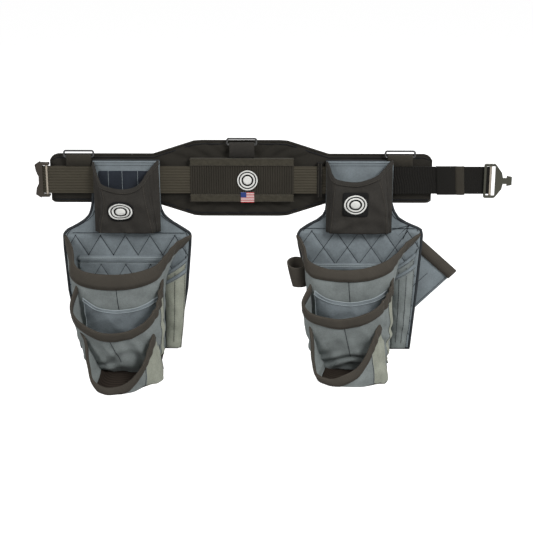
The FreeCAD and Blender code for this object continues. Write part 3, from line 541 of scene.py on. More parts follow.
def stitch_rows(name, rows, thread, body, pitch=None, radius=None):
    """Stitching along a list of point rows, as one piece."""
    vertices, edges = [], []
    for row in rows:
        first = len(vertices)
        vertices += row
        edges += [(first + i, first + i + 1) for i in range(len(row) - 1)]
    piece = new_object(name, vertices, edges, [])
    if "Stitch rows" not in GROUPS:
        GROUPS["Stitch rows"] = stitch_tree()
    run_tree(piece, GROUPS["Stitch rows"], {
        "Pitch": pitch or cloth().stitch_pitch, "Radius": radius or cloth().stitch_radius,
        "Thread": FINISHES[thread]})
    own(piece, body)
    return piece


# ---------------------------------------------------------------- pocket forms
class Pouch:
    """Places of one pouch: millimetres across from its middle, in front of its panel, and up."""

    def __init__(self, side):
        self.side = side
        self.body = side + "_pouch"
        low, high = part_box(side + "_back_panel")
        self.middle = (low[0] + high[0]) / 2
        self.front = low[1]
        self.back = high[1]
        self.right = side == "right"

    def at(self, x, depth, z):
        """A point in metres from its distance beside the pouch's middle, its depth and its height."""
        return Vector((self.middle + x * MM, self.front - depth * MM, z * MM))

    def name(self, part):
        """The full name of one of this pouch's parts."""
        return "%s_%s" % (self.side, part)


def curve_at(points, t):
    """A point of the smooth curve through the given points, t from 0 to 1."""
    last = len(points) - 1
    place = min(max(t, 0.0), 1.0) * last
    i = min(int(place), last - 1)
    f = place - i
    p0, p1, p2, p3 = (points[min(max(k, 0), last)] for k in (i - 1, i, i + 1, i + 2))
    return 0.5 * ((2 * p1) + (p2 - p0) * f + (2 * p0 - 5 * p1 + 4 * p2 - p3) * f * f
                  + (3 * p1 - p0 - 3 * p2 + p3) * f * f * f)


class Pocket:
    """A pocket's shell through its sewn lines, from the mouth down to the foot.

    Each line runs from the pocket's left seam round its front to its right seam, as points
    of millimetres across, in front of the back panel, and up.  u runs along a line and v
    from the mouth to the foot.
    """

    def __init__(self, pouch, lines, belly=4.0, seed=0.0, slack=1.0):
        self.pouch, self.belly, self.seed, self.slack = pouch, belly, seed, slack
        self.lines = [[Vector(point) for point in line] for line in lines]

    def smooth(self, u, v):
        """The form before it sags and wrinkles."""
        down = [curve_at(line, u) for line in self.lines]
        if len(down) == 2:
            return down[0].lerp(down[1], v)
        return curve_at(down, v)

    def point(self, u, v, offset=0.0):
        """A point of the sewn cloth, in metres, moved outwards by an offset in millimetres."""
        u, v = min(max(u, 0.0), 1.0), min(max(v, 0.0), 1.0)
        place = self.smooth(u, v)
        ease = 2e-3
        du = self.smooth(min(u + ease, 1.0), v) - self.smooth(max(u - ease, 0.0), v)
        dv = self.smooth(u, min(v + ease, 1.0)) - self.smooth(u, max(v - ease, 0.0))
        out = du.cross(dv)
        out = out.normalized() if out.length > 1e-9 else Vector((0, 1, 0))
        held = min(1.0, u / 0.08, (1.0 - u) / 0.08)
        sag = self.belly * math.sin(math.pi * v) * held
        fold = wrinkle(place * MM, cloth().crumple / MM, seed=self.seed) * held
        crease = cloth().crease / MM * self.slack * self.crease(place, u, v) * held
        place = place + out * (offset + sag + fold + crease)
        return self.pouch.at(place.x, place.y, place.z)

    def crease(self, place, u, v):
        """Slack folds that run down and across the cloth, stronger low down and on the right side."""
        across = place.x * 0.9 + place.z * 0.55
        where = Vector((across / 26.0, place.z / 95.0, self.seed * 3.1))
        folds = 1.0 - abs(noise.noise(where)) * 4.0
        warp = Vector((place.x / 60.0, place.z / 40.0, self.seed * 1.7))
        swags = math.sin((place.z + 0.35 * abs(place.x + 10)) / 6.0 + 5.0 * noise.noise(warp))
        side = math.cos(u * 95.0 + 2.0 * noise.noise(warp * 0.7)) if u > 0.76 else 0.0
        return (folds * 0.5 + swags * 0.8 * min(max(v - 0.3, 0.0) * 2.5, 1.0)) * min(v * 2.5,
                                                                                     1.0) + side * 0.5

    def share(self, u, drop):
        """The v that lies a length down the cloth from the mouth."""
        run, v, here = 0.0, 0.0, self.smooth(u, 0.0)
        while run < drop and v < 1.0:
            v += 0.02
            there = self.smooth(u, v)
            last = (there - here).length
            run, here = run + last, there
        return v - 0.02 * (run - drop) / last if v else 0.0

    def place(self, x, z, out=0.0):
        """The point of the cloth that lies at a place across and up."""
        u, v = 0.5, 0.5
        wide = self.smooth(1.0, 0.5).x - self.smooth(0.0, 0.5).x
        tall = self.smooth(0.5, 0.0).z - self.smooth(0.5, 1.0).z
        for _ in range(24):
            here = self.smooth(u, v)
            u = min(max(u + 0.6 * (x - here.x) / wide, 0.0), 1.0)
            v = min(max(v + 0.6 * (here.z - z) / tall, 0.0), 1.0)
        return self.point(u, v, out)

    def shell(self, part, material, rows=30, cols=84, replaces=(), slot="pouch_cloth", lit_side=None):
        """The wall of the pocket; its right side, from the given u on, in a lighter copy of the cloth:
        painted light.
        """
        grid = [[self.point(u, v) for u in steps(cols)] for v in steps(rows)]
        piece = sheet_piece(self.pouch.name(part), grid, material, self.pouch.body, replaces=replaces,
                            slot=slot,
                            thickness=cloth().cloth)
        if lit_side:
            piece.data.materials.append(FINISHES["lit_side_cordura"])
            for index, face in enumerate(piece.data.polygons):
                if (index % (cols - 1)) / (cols - 1) >= lit_side:
                    face.material_index = 1
        return piece

    def floor(self, part, back_line, material="floor_cloth"):
        """The bottom, from the foot back to a line on the wall behind."""
        back = [Vector(point) for point in back_line]
        grid = []
        for t in steps(8):
            row = []
            for u in steps(50):
                foot, rear = self.smooth(u, 1.0), curve_at(back, u)
                point = foot.lerp(rear, t)
                point.z += 1.0 + 2.0 * math.sin(math.pi * t)
                row.append(self.pouch.at(*point))
            grid.append(row)
        return sheet_piece(self.pouch.name(part), grid, material, self.pouch.body, slot="black_cloth",
                           thickness=cloth().cloth)

    def lip(self, part, replaces=(), outside=None, inside=None, material="lip_webbing", cols=110,
            slot="lip_webbing"):
        """Webbing folded over the mouth, outside and inside, with its stitching."""
        outside = (outside or cloth().lip_height) / MM
        inside = (inside or 0.8 * outside * MM) / MM
        gap = cloth().cloth / MM / 2 + cloth().lip / MM / 2 + 0.15
        profile = [(outside, gap), (outside * 0.66, gap + 0.3), (outside * 0.33, gap + 0.3), (1.0, gap),
                   (-0.6, gap * 0.6), (-1.1, 0.0), (-0.6, -gap * 0.6), (1.0, -gap),
                   (inside * 0.5, -gap - 0.2), (inside, -gap)]
        grid = []
        for drop, out in profile:
            row = []
            for u in steps(cols):
                point = self.point(u, self.share(u, drop), out)
                if drop < 0:
                    point.z -= drop * MM
                row.append(point)
            grid.append(row)
        piece = sheet_piece(self.pouch.name(part), grid, material, self.pouch.body, replaces=replaces,
                            slot=slot,
                            thickness=cloth().lip)
        rows = [[self.point(u, self.share(u, outside - 1.6), gap + 0.95) for u in steps(cols)]]
        stitch_rows(self.pouch.name(part + "_stitch"), rows, "lip_thread", self.pouch.body)
        return piece

    def seam(self, u, offset=1.6, low=0.06, high=0.98, count=30):
        """A row of points down the cloth at one u."""
        return [self.point(u, v, offset) for v in steps(count, low, high)]


# ---------------------------------------------------------------- the two pouches
MOUTHS = {
    "left": {
        "upper": ((-116, 2, -106), (-110, 12, -109), (-100, 30, -124), (-95, 46, -148), (-70, 54, -161),
                  (-23, 57, -164), (20, 57, -159), (54, 52, -147), (73, 38, -128), (91, 21, -112),
                  (115, 2, -105)),
        "middle": ((-92, 47, -186), (-100, 70, -211), (-94, 90, -230), (-75, 98, -246), (-50, 101, -258),
                   (-23, 102, -261), (8, 101, -255), (38, 96, -237), (55, 80, -214), (61, 60, -193),
                   (63, 37, -173)),
        "lower": ((-85, 84, -257), (-74, 95, -276), (-70, 103, -310), (-63, 108, -344), (-44, 112, -359),
                  (-21, 113, -360), (2, 112, -351), (25, 108, -327), (37, 100, -301), (44, 89, -279),
                  (50, 68, -256)),
        "phone": ((-59, 1, 33), (-56, 8, 22), (-51, 14, 8), (-44, 20, -4), (-24, 22, -11), (-3, 23, -13),
                  (17, 22, -9), (30, 20, 2), (38, 15, 14), (48, 8, 26), (58, 1, 36)),
    },
    "right": {
        "upper": ((-112, 2, -104), (-105, 14, -109), (-98, 30, -122), (-91, 45, -140), (-57, 54, -153),
                  (-15, 57, -154), (19, 55, -149), (48, 49, -139), (71, 38, -125), (89, 21, -111),
                  (113, 2, -101)),
        "middle": ((-87, 47, -184), (-101, 72, -202), (-100, 88, -211), (-87, 97, -222), (-58, 101, -230),
                   (-29, 102, -232), (2, 101, -225), (29, 96, -212), (47, 82, -196), (57, 62, -184),
                   (62, 37, -171)),
        "lower": ((-89, 84, -248), (-86, 97, -272), (-85, 104, -303), (-77, 110, -332), (-52, 112, -342),
                  (-30, 112, -336), (-5, 110, -322), (12, 105, -300), (24, 97, -274), (32, 88, -253),
                  (42, 71, -237)),
        "phone": ((-59, 1, 34), (-55, 8, 27), (-51, 14, 15), (-43, 20, 6), (-25, 22, 2), (-5, 23, 1),
                  (15, 22, 6),
                  (31, 20, 13), (41, 14, 21), (50, 8, 30), (58, 1, 37)),
    },
}
FEET = {
    "left": {
        "knee": ((-107, 2, -182), (-106, 10, -184), (-103, 24, -188), (-96, 42, -192), (-72, 52, -196),
                 (-23, 55, -198), (20, 55, -197), (50, 50, -195), (60, 36, -192), (64, 18, -187),
                 (65, 2, -182)),
        "upper": ((-86, 2, -325), (-84, 10, -325), (-82, 20, -325), (-76, 32, -325), (-50, 40, -325),
                  (-15, 42, -325), (14, 42, -325), (38, 38, -325), (56, 28, -325), (61, 14, -325),
                  (62, 2, -325)),
        "middle": ((-80, 34, -335), (-78, 42, -340), (-73, 50, -344), (-60, 55, -348), (-40, 58, -351),
                   (-15, 59, -353), (12, 58, -353), (36, 54, -350), (52, 48, -344), (58, 40, -338),
                   (60, 24, -328)),
        "lower": ((-50, 42, -342), (-53, 66, -351), (-56, 88, -360), (-54, 103, -368), (-38, 111, -372),
                  (-16, 112, -372), (6, 108, -370), (22, 98, -368), (40, 84, -366), (60, 64, -365),
                  (60, 40, -352)),
        "floor": ((-50, 42, -343), (-49, 50, -346), (-46, 54, -349), (-38, 56, -351), (-24, 57, -352),
                  (-8, 57, -352),
                  (6, 57, -352), (18, 56, -352), (32, 55, -352), (50, 50, -354), (59, 40, -352)),
    },
    "right": {
        "knee": ((-94, 2, -176), (-94, 10, -178), (-93, 24, -180), (-89, 42, -183), (-70, 52, -187),
                 (-23, 55, -188), (20, 55, -187), (50, 50, -186), (60, 36, -184), (64, 18, -181),
                 (66, 2, -178)),
        "upper": ((-86, 2, -322), (-84, 10, -322), (-82, 20, -322), (-76, 32, -322), (-50, 40, -322),
                  (-15, 42, -322), (14, 42, -322), (38, 38, -322), (56, 28, -322), (61, 14, -322),
                  (62, 2, -322)),
        "middle": ((-80, 34, -330), (-78, 42, -335), (-73, 50, -339), (-60, 55, -343), (-40, 58, -346),
                   (-15, 59, -347), (12, 58, -347), (36, 54, -344), (50, 48, -339), (54, 40, -334),
                   (57, 22, -325)),
        "lower": ((-54, 40, -336), (-60, 66, -344), (-66, 88, -349), (-65, 102, -352), (-48, 110, -354),
                  (-24, 112, -356), (0, 109, -358), (18, 100, -360), (36, 84, -363), (54, 66, -367),
                  (55, 40, -352)),
        "floor": ((-54, 40, -337), (-53, 50, -340), (-50, 54, -343), (-42, 56, -345), (-26, 57, -346),
                  (-8, 57, -346),
                  (6, 57, -346), (18, 56, -346), (30, 55, -348), (45, 50, -352), (54, 40, -352)),
    },
}


def upper_pocket(pouch):
    """The upper pocket's shape, the first in front of the panel."""
    feet = FEET[pouch.side]
    return Pocket(pouch, (MOUTHS[pouch.side]["upper"], feet["knee"], feet["upper"]), belly=2.0,
                  seed=1.0 + pouch.right)


def middle_pocket(pouch):
    """The middle pocket's shape."""
    return Pocket(pouch, (MOUTHS[pouch.side]["middle"], FEET[pouch.side]["middle"]), belly=3.0,
                  seed=5.0 + pouch.right, slack=2.3)


def lower_pocket(pouch):
    """The lower pocket's shape, the foremost."""
    return Pocket(pouch, (MOUTHS[pouch.side]["lower"], FEET[pouch.side]["lower"]), belly=1.5,
                  seed=9.0 + pouch.right)


# Half widths of the back panels, left and right of their middle, by height
OUTLINES = {
    "left": (((-327, 97), (-212, 115), (-129, 120), (-103, 120), (-94, 113), (-86, 97), (-76, 81), (-67, 72),
              (-57, 68), (-43, 65), (36, 60)),
             ((-327, 86), (-206, 107), (-124, 114), (-103, 115), (-98, 112), (-88, 97), (-78, 81), (-67, 68),
              (-55, 62), (-43, 60), (36, 60))),
    "right": (((-327, 84), (-212, 92), (-185, 95), (-145, 105), (-123, 110), (-103, 112), (-94, 108),
               (-82, 91),
               (-75, 77), (-66, 66), (-56, 61), (-47, 60), (36, 60)),
              ((-327, 101), (-224, 110), (-123, 117), (-103, 118), (-91, 115), (-84, 98), (-78, 85),
               (-70, 73),
               (-58, 65), (-42, 60), (36, 60))),
}


def panel_edge(pouch, z, side, inset=0.0):
    """The place across of the back panel's left (-1) or right (1) edge at a height."""
    return side * (blend_keys(z, OUTLINES[pouch.side][side > 0]) - inset)


def flat_row(pouch, corners, depth):
    """A polyline on a flat of the pouch."""
    return [pouch.at(x, depth, z) for x, z in corners]


def dense(points, count=12):
    """The same polyline with points added along each side."""
    out = []
    for a, b in zip(points, points[1:]):
        out += [a.lerp(b, i / count) for i in range(count)]
    return out + [points[-1]]


def quilt_height(x, z, quilt):
    """Puff of diamond quilting between its crossing seams, from 0 to 1."""
    pitch, deep, top, shift = quilt
    a = ((x - shift) / pitch + (z - top) / deep / 2) % 1.0
    b = ((x - shift) / pitch - (z - top) / deep / 2) % 1.0
    near = min(a, 1 - a, b, 1 - b) * 2
    return min(near * 3.0, 1.0) ** 0.6


def quilt_rows(pouch, quilt, depth, low, high, left, right):
    """The crossing seams of the quilting, between two heights and two sides."""
    pitch, deep, top, shift = quilt
    rows = []
    for k in range(-8, 9):
        for sign in (-1, 1):
            row = []
            for z in steps(90, high, low):
                x = shift + k * pitch + sign * (z - top) * pitch / deep / 2
                if left(z) < x < right(z):
                    row.append(pouch.at(x, depth, z))
                elif row:
                    break
            if len(row) > 2:
                rows.append(row)
    return rows


# pitch across, half pitch down, top of the first peaks, and the place of a peak
QUILT = {"left": (45.5, 37.0, -105.5, -6.5), "right": (43.7, 31.5, -96.0, 2.4)}


def dress_back_panel(pouch):
    """The quilted back panel, with its bound edge."""
    quilt = QUILT[pouch.side]
    top = quilt[2]
    puff = cloth().quilt_puff / MM
    grid = []
    for z in steps(150, 36.0, -327.0):
        left, right = panel_edge(pouch, z, -1, 1.2), panel_edge(pouch, z, 1, 1.2)
        row = []
        for t in steps(110, -1.0, 1.0):
            x = left + (right - left) * (t + 1) / 2
            on = z < top and abs(t) < 0.95 and z > -322
            d = (quilt_height(x, z, quilt) * puff if on else 0.4) + 0.1
            row.append(pouch.at(x, d + wrinkle(Vector((x, 0, z)) * MM, 0.4, seed=3.0), z))
        grid.append(row)
    back = [[Vector((p.x, pouch.back, p.z)) for p in row] for row in grid]
    closed_sheet(pouch.name("panel_cloth"), grid, back, "blue_cordura", pouch.body,
                 replaces=(pouch.name("back_panel"),), slot="pouch_cloth")
    heights = steps(80, 36.0, -327.0)
    ring = ([pouch.at(panel_edge(pouch, z, 1), 0, z) for z in heights]
            + [pouch.at(panel_edge(pouch, z, -1), 0, z) for z in reversed(heights)])
    binding_strip(pouch.name("panel_binding"), ring, 4.0, pouch.body, "binding_tape", "pouch_cloth",
                  pouch.front,
                  pouch.back)
    rows = quilt_rows(pouch, quilt, 0.9, -322, top, lambda z: panel_edge(pouch, z, -1, 5),
                      lambda z: panel_edge(pouch, z, 1, 5))
    rows.append(flat_row(pouch, [(-101, top + 5), (101, top + 5)], 1.1))
    for side in (-1, 1):
        rows.append([pouch.at(panel_edge(pouch, z, side, 8), 1.0, z) for z in steps(30, -45, top + 1)])
        rows.append([pouch.at(panel_edge(pouch, z, side, 9), 0.9, z) for z in steps(40, top - 5, -322)])
    if pouch.right:
        for x, z in ((62, -93), (73, -104), (82, -110)):
            rows.append(flat_row(pouch, [(92, -85), (x, z)], 1.8))
    stitch_rows(pouch.name("quilt_stitch"), [dense(row, 2) for row in rows], "dark_thread", pouch.body,
                pitch=2.6 * MM, radius=0.55 * MM)
    rows = [[Vector((point.x, pouch.back + 0.3 * MM, point.z)) for point in
             (pouch.at(panel_edge(pouch, z, side, 7), 0, z) for z in steps(90, 30, -320))]
            for side in (-1, 1)]
    rows += [dense([Vector((pouch.middle + side * MM, pouch.back + 0.3 * MM, z * MM)) for side in (-86, 80)],
                   60)
             for z in (-98, -318)]
    stitch_rows(pouch.name("back_stitch"), rows, "light_thread", pouch.body)


def closed_sheet(name, front, back, material, body, **more):
    """A thin closed form between two grids of the same size, joined round their rim."""
    rows, cols = len(front), len(front[0])
    size = rows * cols
    faces = grid_faces(rows, cols) + [tuple(reversed(f)) for f in grid_faces(rows, cols, start=size)]
    rim = ([c for c in range(cols)] + [r * cols + cols - 1 for r in range(1, rows)]
           + [(rows - 1) * cols + c for c in range(cols - 2, -1, -1)]
           + [r * cols for r in range(rows - 2, 0, -1)])
    for a, b in zip(rim, rim[1:] + rim[:1]):
        faces.append((b, a, a + size, b + size))
    uvs = metric_uvs(front)
    return add_piece(name, [p for row in front + back for p in row], faces, material, body, uvs=uvs + uvs,
                     **more)


def binding_strip(name, ring, width, body, material, slot, front, back):
    """Tape folded over a closed flat edge: ring is the edge, in order."""
    count = len(ring)
    centre = sum(ring, Vector()) / count
    profile = [(-width, front - 0.5 * MM), (-width * 0.5, front - 0.9 * MM), (-0.4, front - 0.8 * MM),
               (0.5, (front + back) / 2), (-0.4, back + 0.3 * MM), (-width, back + 0.2 * MM)]
    grid = [[] for _ in profile]
    for i, point in enumerate(ring):
        along = ring[(i + 1) % count] - ring[i - 1]
        out = Vector((along.z, 0, -along.x))
        out = out.normalized() if out.length > 1e-9 else Vector((1, 0, 0))
        if out.dot(point - centre) < 0:
            out = -out
        for row, (inset, y) in zip(grid, profile):
            row.append(Vector((point.x + out.x * inset * MM, y, point.z + out.z * inset * MM)))
    return sheet_piece(name, grid, material, body, wrap=True, slot=slot, thickness=0.5 * MM)


def dress_tunnel(pouch):
    """The flat sleeve that the belt passes through, its two sides and its stitched top."""
    low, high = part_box(pouch.name("belt_tunnel"))
    grid = []
    for z in steps(40, 35.0, -98.0):
        row = []
        for t in steps(40, -1.0, 1.0):
            x = (low[0] + high[0]) / 2 + (high[0] - low[0]) / 2 * t
            bow = 0.8 * (1 - t * t) + wrinkle(Vector((x, 0, z * MM)), 0.6, seed=12)
            row.append(Vector((x, low[1] + (0.9 - bow) * MM, z * MM)))
        grid.append(row)
    back = [[Vector((p.x, low[1] + 2.2 * MM, p.z)) for p in row] for row in grid]
    closed_sheet(pouch.name("tunnel_cloth"), grid, back, "blue_cordura", pouch.body,
                 replaces=(pouch.name("belt_tunnel"),), slot="pouch_cloth")
    for x in (low[0], high[0] - 6 * MM):
        place_box(pouch.name("tunnel_side_%d" % (x > low[0])), (x, low[1] + 1.2 * MM, -98 * MM),
                  (x + 6 * MM, pouch.front - 0.05 * MM, -28 * MM), "blue_cordura", pouch.body, "pouch_cloth")
    rows = [[Vector((x, low[1] - 0.3 * MM, z * MM)) for x in steps(30, low[0] + 3 * MM, high[0] - 3 * MM)]
            for z in (32.0, 27.0)]
    stitch_rows(pouch.name("tunnel_stitch"), rows, "dark_thread", pouch.body)


def place_box(name, low, high, material, body, slot, replaces=(), bevel=0.0):
    """A plain bar between two corners, with a small bevel when one is given."""
    (x0, y0, z0), (x1, y1, z1) = low, high
    vertices = [Vector((x, y, z)) for z in (z0, z1) for y in (y0, y1) for x in (x0, x1)]
    faces = [(0, 2, 3, 1), (4, 5, 7, 6), (0, 1, 5, 4), (2, 6, 7, 3), (0, 4, 6, 2), (1, 3, 7, 5)]
    uvs = [(v.x, v.z) for v in vertices]
    piece = add_piece(name, vertices, faces, material, body, replaces=replaces, slot=slot, smooth=False,
                      uvs=uvs)
    if bevel:
        edge = piece.modifiers.new("edge", "BEVEL")
        edge.width = bevel
        edge.segments = 2
    return piece


# Front corners of the phone pocket: across at the waist and at the foot
PHONE_FOLDS = {"left": (-38, 35, -50, 46), "right": (-47, 45, -51, 50)}


def dress_phone_pocket(pouch):
    """The black pocket at the top, with folded-in sides, its hem, and a bare label."""
    rear = 5.0
    mouth = [(x, depth + rear, z) for x, depth, z in MOUTHS[pouch.side]["phone"]]
    waist_left, waist_right, foot_left, foot_right = PHONE_FOLDS[pouch.side]

    def line(left, right, deep, z):
        """A line round the pocket, tucked in between its sewn edge and its front corners."""
        return [(-59, rear, z), ((-118 + left) / 3, rear + deep * 0.28, z),
                ((-59 + 2 * left) / 3, rear + deep * 0.5, z),
                (left, rear + deep * 0.93, z), (left * 0.5, rear + deep, z), (0, rear + deep, z),
                (right * 0.5, rear + deep, z), (right, rear + deep * 0.93, z),
                ((59 + 2 * right) / 3, rear + deep * 0.5, z), ((118 + right) / 3, rear + deep * 0.28, z),
                (59, rear, z)]

    pocket = Pocket(pouch, (mouth, line(waist_left, waist_right, 22, -40),
                            line(foot_left, foot_right, 13, -96)),
                    belly=0.8, seed=20 + pouch.right)
    pocket.shell("phone_cloth", "black_cordura", rows=26, replaces=(pouch.name("phone_pocket"),),
                 slot="black_cloth")
    pocket.floor("phone_floor", [(x, 1.0, -96) for x in steps(11, -59, 59)], material="black_cordura")
    pocket.lip("phone_hem", outside=7.0 * MM, inside=8.0 * MM, material="black_cordura", slot="black_cloth")
    folds = [[pocket.point(u, v, 1.5) for v in steps(30, 0.14, 0.99)] for u in (0.3, 0.7)]
    stitch_rows(pouch.name("phone_seams"), folds, "lip_thread", pouch.body, radius=0.5 * MM)
    dress_label(pouch, pocket)
    if not pouch.right:
        dress_divider(pouch)


# Centre, half width, half height and squareness of the label, then half sizes of its ring
LABELS = {"left": (-10.0, -52.5, 23.5, 19.0, 2.6, 21.5, 15.5),
          "right": (-8.0, -38.5, 23.0, 22.5, 14.0, 20.5, 17.5)}


def dress_label(pouch, pocket):
    """A bare cloth label on the phone pocket, with a plain ring and a plain spot."""
    centre_x, centre_z, half_w, half_h, square, ring_w, ring_h = LABELS[pouch.side]

    def outline_row(scale, sides, out, wide, high):
        row = []
        for k in range(56):
            c, s = math.cos(math.tau * k / 56), math.sin(math.tau * k / 56)
            size = scale * (abs(c) ** sides + abs(s) ** sides) ** (-1 / sides)
            row.append(pocket.place(centre_x + wide * size * c, centre_z + high * size * s, out))
        return row

    sheet_piece(pouch.name("label"), [outline_row(r, square, 1.9, half_w, half_h) for r in steps(7)],
                "label_cloth", pouch.body, wrap=True, slot="black_cloth", thickness=0.7 * MM)
    for part, low, high in (("label_ring", 0.86, 1.0), ("label_inner_ring", 0.58, 0.74),
                            ("label_spot", 0.0, 0.42)):
        rows = [outline_row(r, 2.0, 2.6, ring_w, ring_h) for r in steps(4, low, high)]
        sheet_piece(pouch.name(part), rows, "bare_label", pouch.body, wrap=True, slot="label_white",
                    thickness=0.5 * MM)


def dress_divider(pouch):
    """The cloth divider standing behind the phone pocket, with its light seams."""
    low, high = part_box("left_phone_divider")
    place_box("left_divider_cloth", low, (high[0], high[1] - 0.1 * MM, high[2]), "divider_cloth", pouch.body,
              "black_cloth", replaces=("left_phone_divider",), bevel=0.4 * MM)
    rows = [dense([pouch.at(x, 0, high[2] / MM - 1), pouch.at(x, 0, -60)], 30) for x in (-32.4, -7.6, 20.5)]
    for row in rows:
        for point in row:
            point.y = low[1] - 0.3 * MM
    stitch_rows("left_divider_stitch", rows, "light_thread", pouch.body, pitch=2.4 * MM)


# Lip webbing seen below each mouth, in millimetres, and where the right side's lighter cloth, painted light,
# begins
LIPS = {"left": (27.0, 16.0, 14.0), "right": (22.0, 18.5, 16.0)}
LIT_SIDE_STARTS = {"upper": None, "middle": 0.84, "lower": 0.76}
# Seams on the fronts, as places across and up
FRONT_SEAMS = {
    "left": {"upper": [[(-20.5, -176), (-15.5, -232)]], "middle": [[(-29, -276), (-12.5, -320)]],
             "lower": []},
    "right": {"upper": [[(-19.5, -168), (-15.5, -216)]], "middle": [[(-27, -250), (-13.5, -314)]],
              "lower": []},
}


def dress_pocket(pouch, pocket, row, replaces):
    """A pocket with its lip, its front seam and its dark corded edges."""
    rank = ("upper", "middle", "lower").index(row)
    whole = cloth().lip_height if rank == 0 else cloth().low_lip_height
    share = LIPS[pouch.side][rank] / (24.0 if rank == 0 else 17.0)
    pocket.shell(row + "_cloth", "grey_cordura", replaces=replaces[:1], lit_side=LIT_SIDE_STARTS[row])
    pocket.lip(row + "_lip_tape", replaces=replaces[1:], outside=whole * share)
    seams = [dense([Vector((x, 0, z)) for x, z in line], 30) for line in FRONT_SEAMS[pouch.side][row]]
    rows = [[pocket.place(p.x, p.z, 1.3) for p in seam] for seam in seams]
    if LIT_SIDE_STARTS[row]:
        rows.append(pocket.seam(LIT_SIDE_STARTS[row], 1.3, low=0.02))
        for u, side in ((0.004, "left"), (0.996, "right")):
            tube(pouch.name("%s_%s_cord" % (row, side)), pocket.seam(u, 0.6, low=0.0, high=1.0), 1.3 * MM,
                 "binding_tape", pouch.body, "pouch_cloth", closed=False)
    stitch_rows(pouch.name(row + "_seams"), rows, "dark_thread", pouch.body, pitch=2.2 * MM,
                radius=0.5 * MM)


# Top of the upper inner pocket, and the drooping hem of the middle one as places across and up
INNER_TOPS = {"left": -143.4, "right": -157.0}
INNER_HEMS = {
    "left": ((-80, -208), (-65, -219), (-50, -226), (-32, -229), (-14, -229), (3, -227), (19, -223),
             (37, -215),
             (54, -204)),
    "right": ((-79, -193), (-65, -202), (-52, -208), (-34, -212), (-16, -213), (2, -211), (20, -207),
              (36, -200),
              (50, -191)),
}


def dress_inner_pockets(pouch, upper):
    """The flat pockets inside the upper and middle ones, each with its hem."""
    top = INNER_TOPS[pouch.side]
    pitch, deep, _, shift = QUILT[pouch.side]
    quilt = (pitch, deep, top - 16.5, shift)
    grid = [[pouch.at(x, 4.0 + 1.6 * quilt_height(x, z, quilt), z) for x in steps(70, -92, 62)]
            for z in steps(60, top - 14, -300)]
    sheet_piece(pouch.name("upper_inner_cloth"), grid, "blue_cordura", pouch.body,
                replaces=(pouch.name("upper_inner_pocket"),), slot="pouch_cloth", thickness=1.2 * MM)
    hem = [[pouch.at(x, out, z) for x in steps(50, -92, 62)]
           for z, out in ((top - 15, 5.2), (top - 8, 5.8), (top - 0.5, 5.6), (top + 0.4, 4.4),
                          (top - 0.5, 3.6),
                          (top - 9, 3.6))]
    sheet_piece(pouch.name("upper_inner_hem"), hem, "blue_cordura", pouch.body, slot="pouch_cloth",
                thickness=0.7 * MM)
    rows = [[pouch.at(x, 6.6, top - drop) for x in steps(60, -92, 62)] for drop in (2.6, 5.6, 13.5)]
    stitch_rows(pouch.name("upper_inner_stitch"), rows, "light_thread", pouch.body,
                radius=0.7 * MM)
    rows = quilt_rows(pouch, quilt, 5.0, -250, top - 16.5, lambda z: -91, lambda z: 61)
    stitch_rows(pouch.name("upper_inner_quilt"), rows, "dark_thread", pouch.body,
                pitch=2.6 * MM,
                radius=0.55 * MM)
    line = [Vector((x, 0, z)) for x, z in INNER_HEMS[pouch.side]]

    def patch(t, down, out):
        """On the front of the upper pocket, from the drooping hem down."""
        start = curve_at(line, t)
        foot = Vector((-72 + 128 * t, 0, -328))
        where = start.lerp(foot, down)
        slack = 5.0 * math.sin(math.pi * t) * math.sin(math.pi * min(down * 1.4 + 0.25, 1.0))
        return upper.place(where.x, where.z, out + max(slack, 0.0))

    grid = [[patch(t, down, 2.2) for t in steps(44)] for down in steps(18)]
    sheet_piece(pouch.name("middle_inner_cloth"), grid, "blue_cordura", pouch.body,
                replaces=(pouch.name("middle_inner_pocket"),), slot="pouch_cloth", thickness=1.2 * MM)
    hem = [patch(t, 0.0, 2.6) for t in steps(60)]
    side = [patch(0.012, down, 3.0) for down in steps(20, 0.0, 0.9)]
    tube(pouch.name("middle_inner_hem"), hem, 0.95 * MM, "light_thread", pouch.body, "pouch_cloth",
         closed=False,
         sides=8)
    tube(pouch.name("middle_inner_side"), side, 0.8 * MM, "light_thread", pouch.body, "pouch_cloth",
         closed=False,
         sides=8)
    rows = [[patch(t, 0.05, 3.6) for t in steps(60)], [patch(0.985, down, 3.4)
                                                       for down in steps(20, 0.0, 0.9)]]
    stitch_rows(pouch.name("middle_inner_stitch"), rows, "light_thread", pouch.body,
                radius=0.7 * MM)


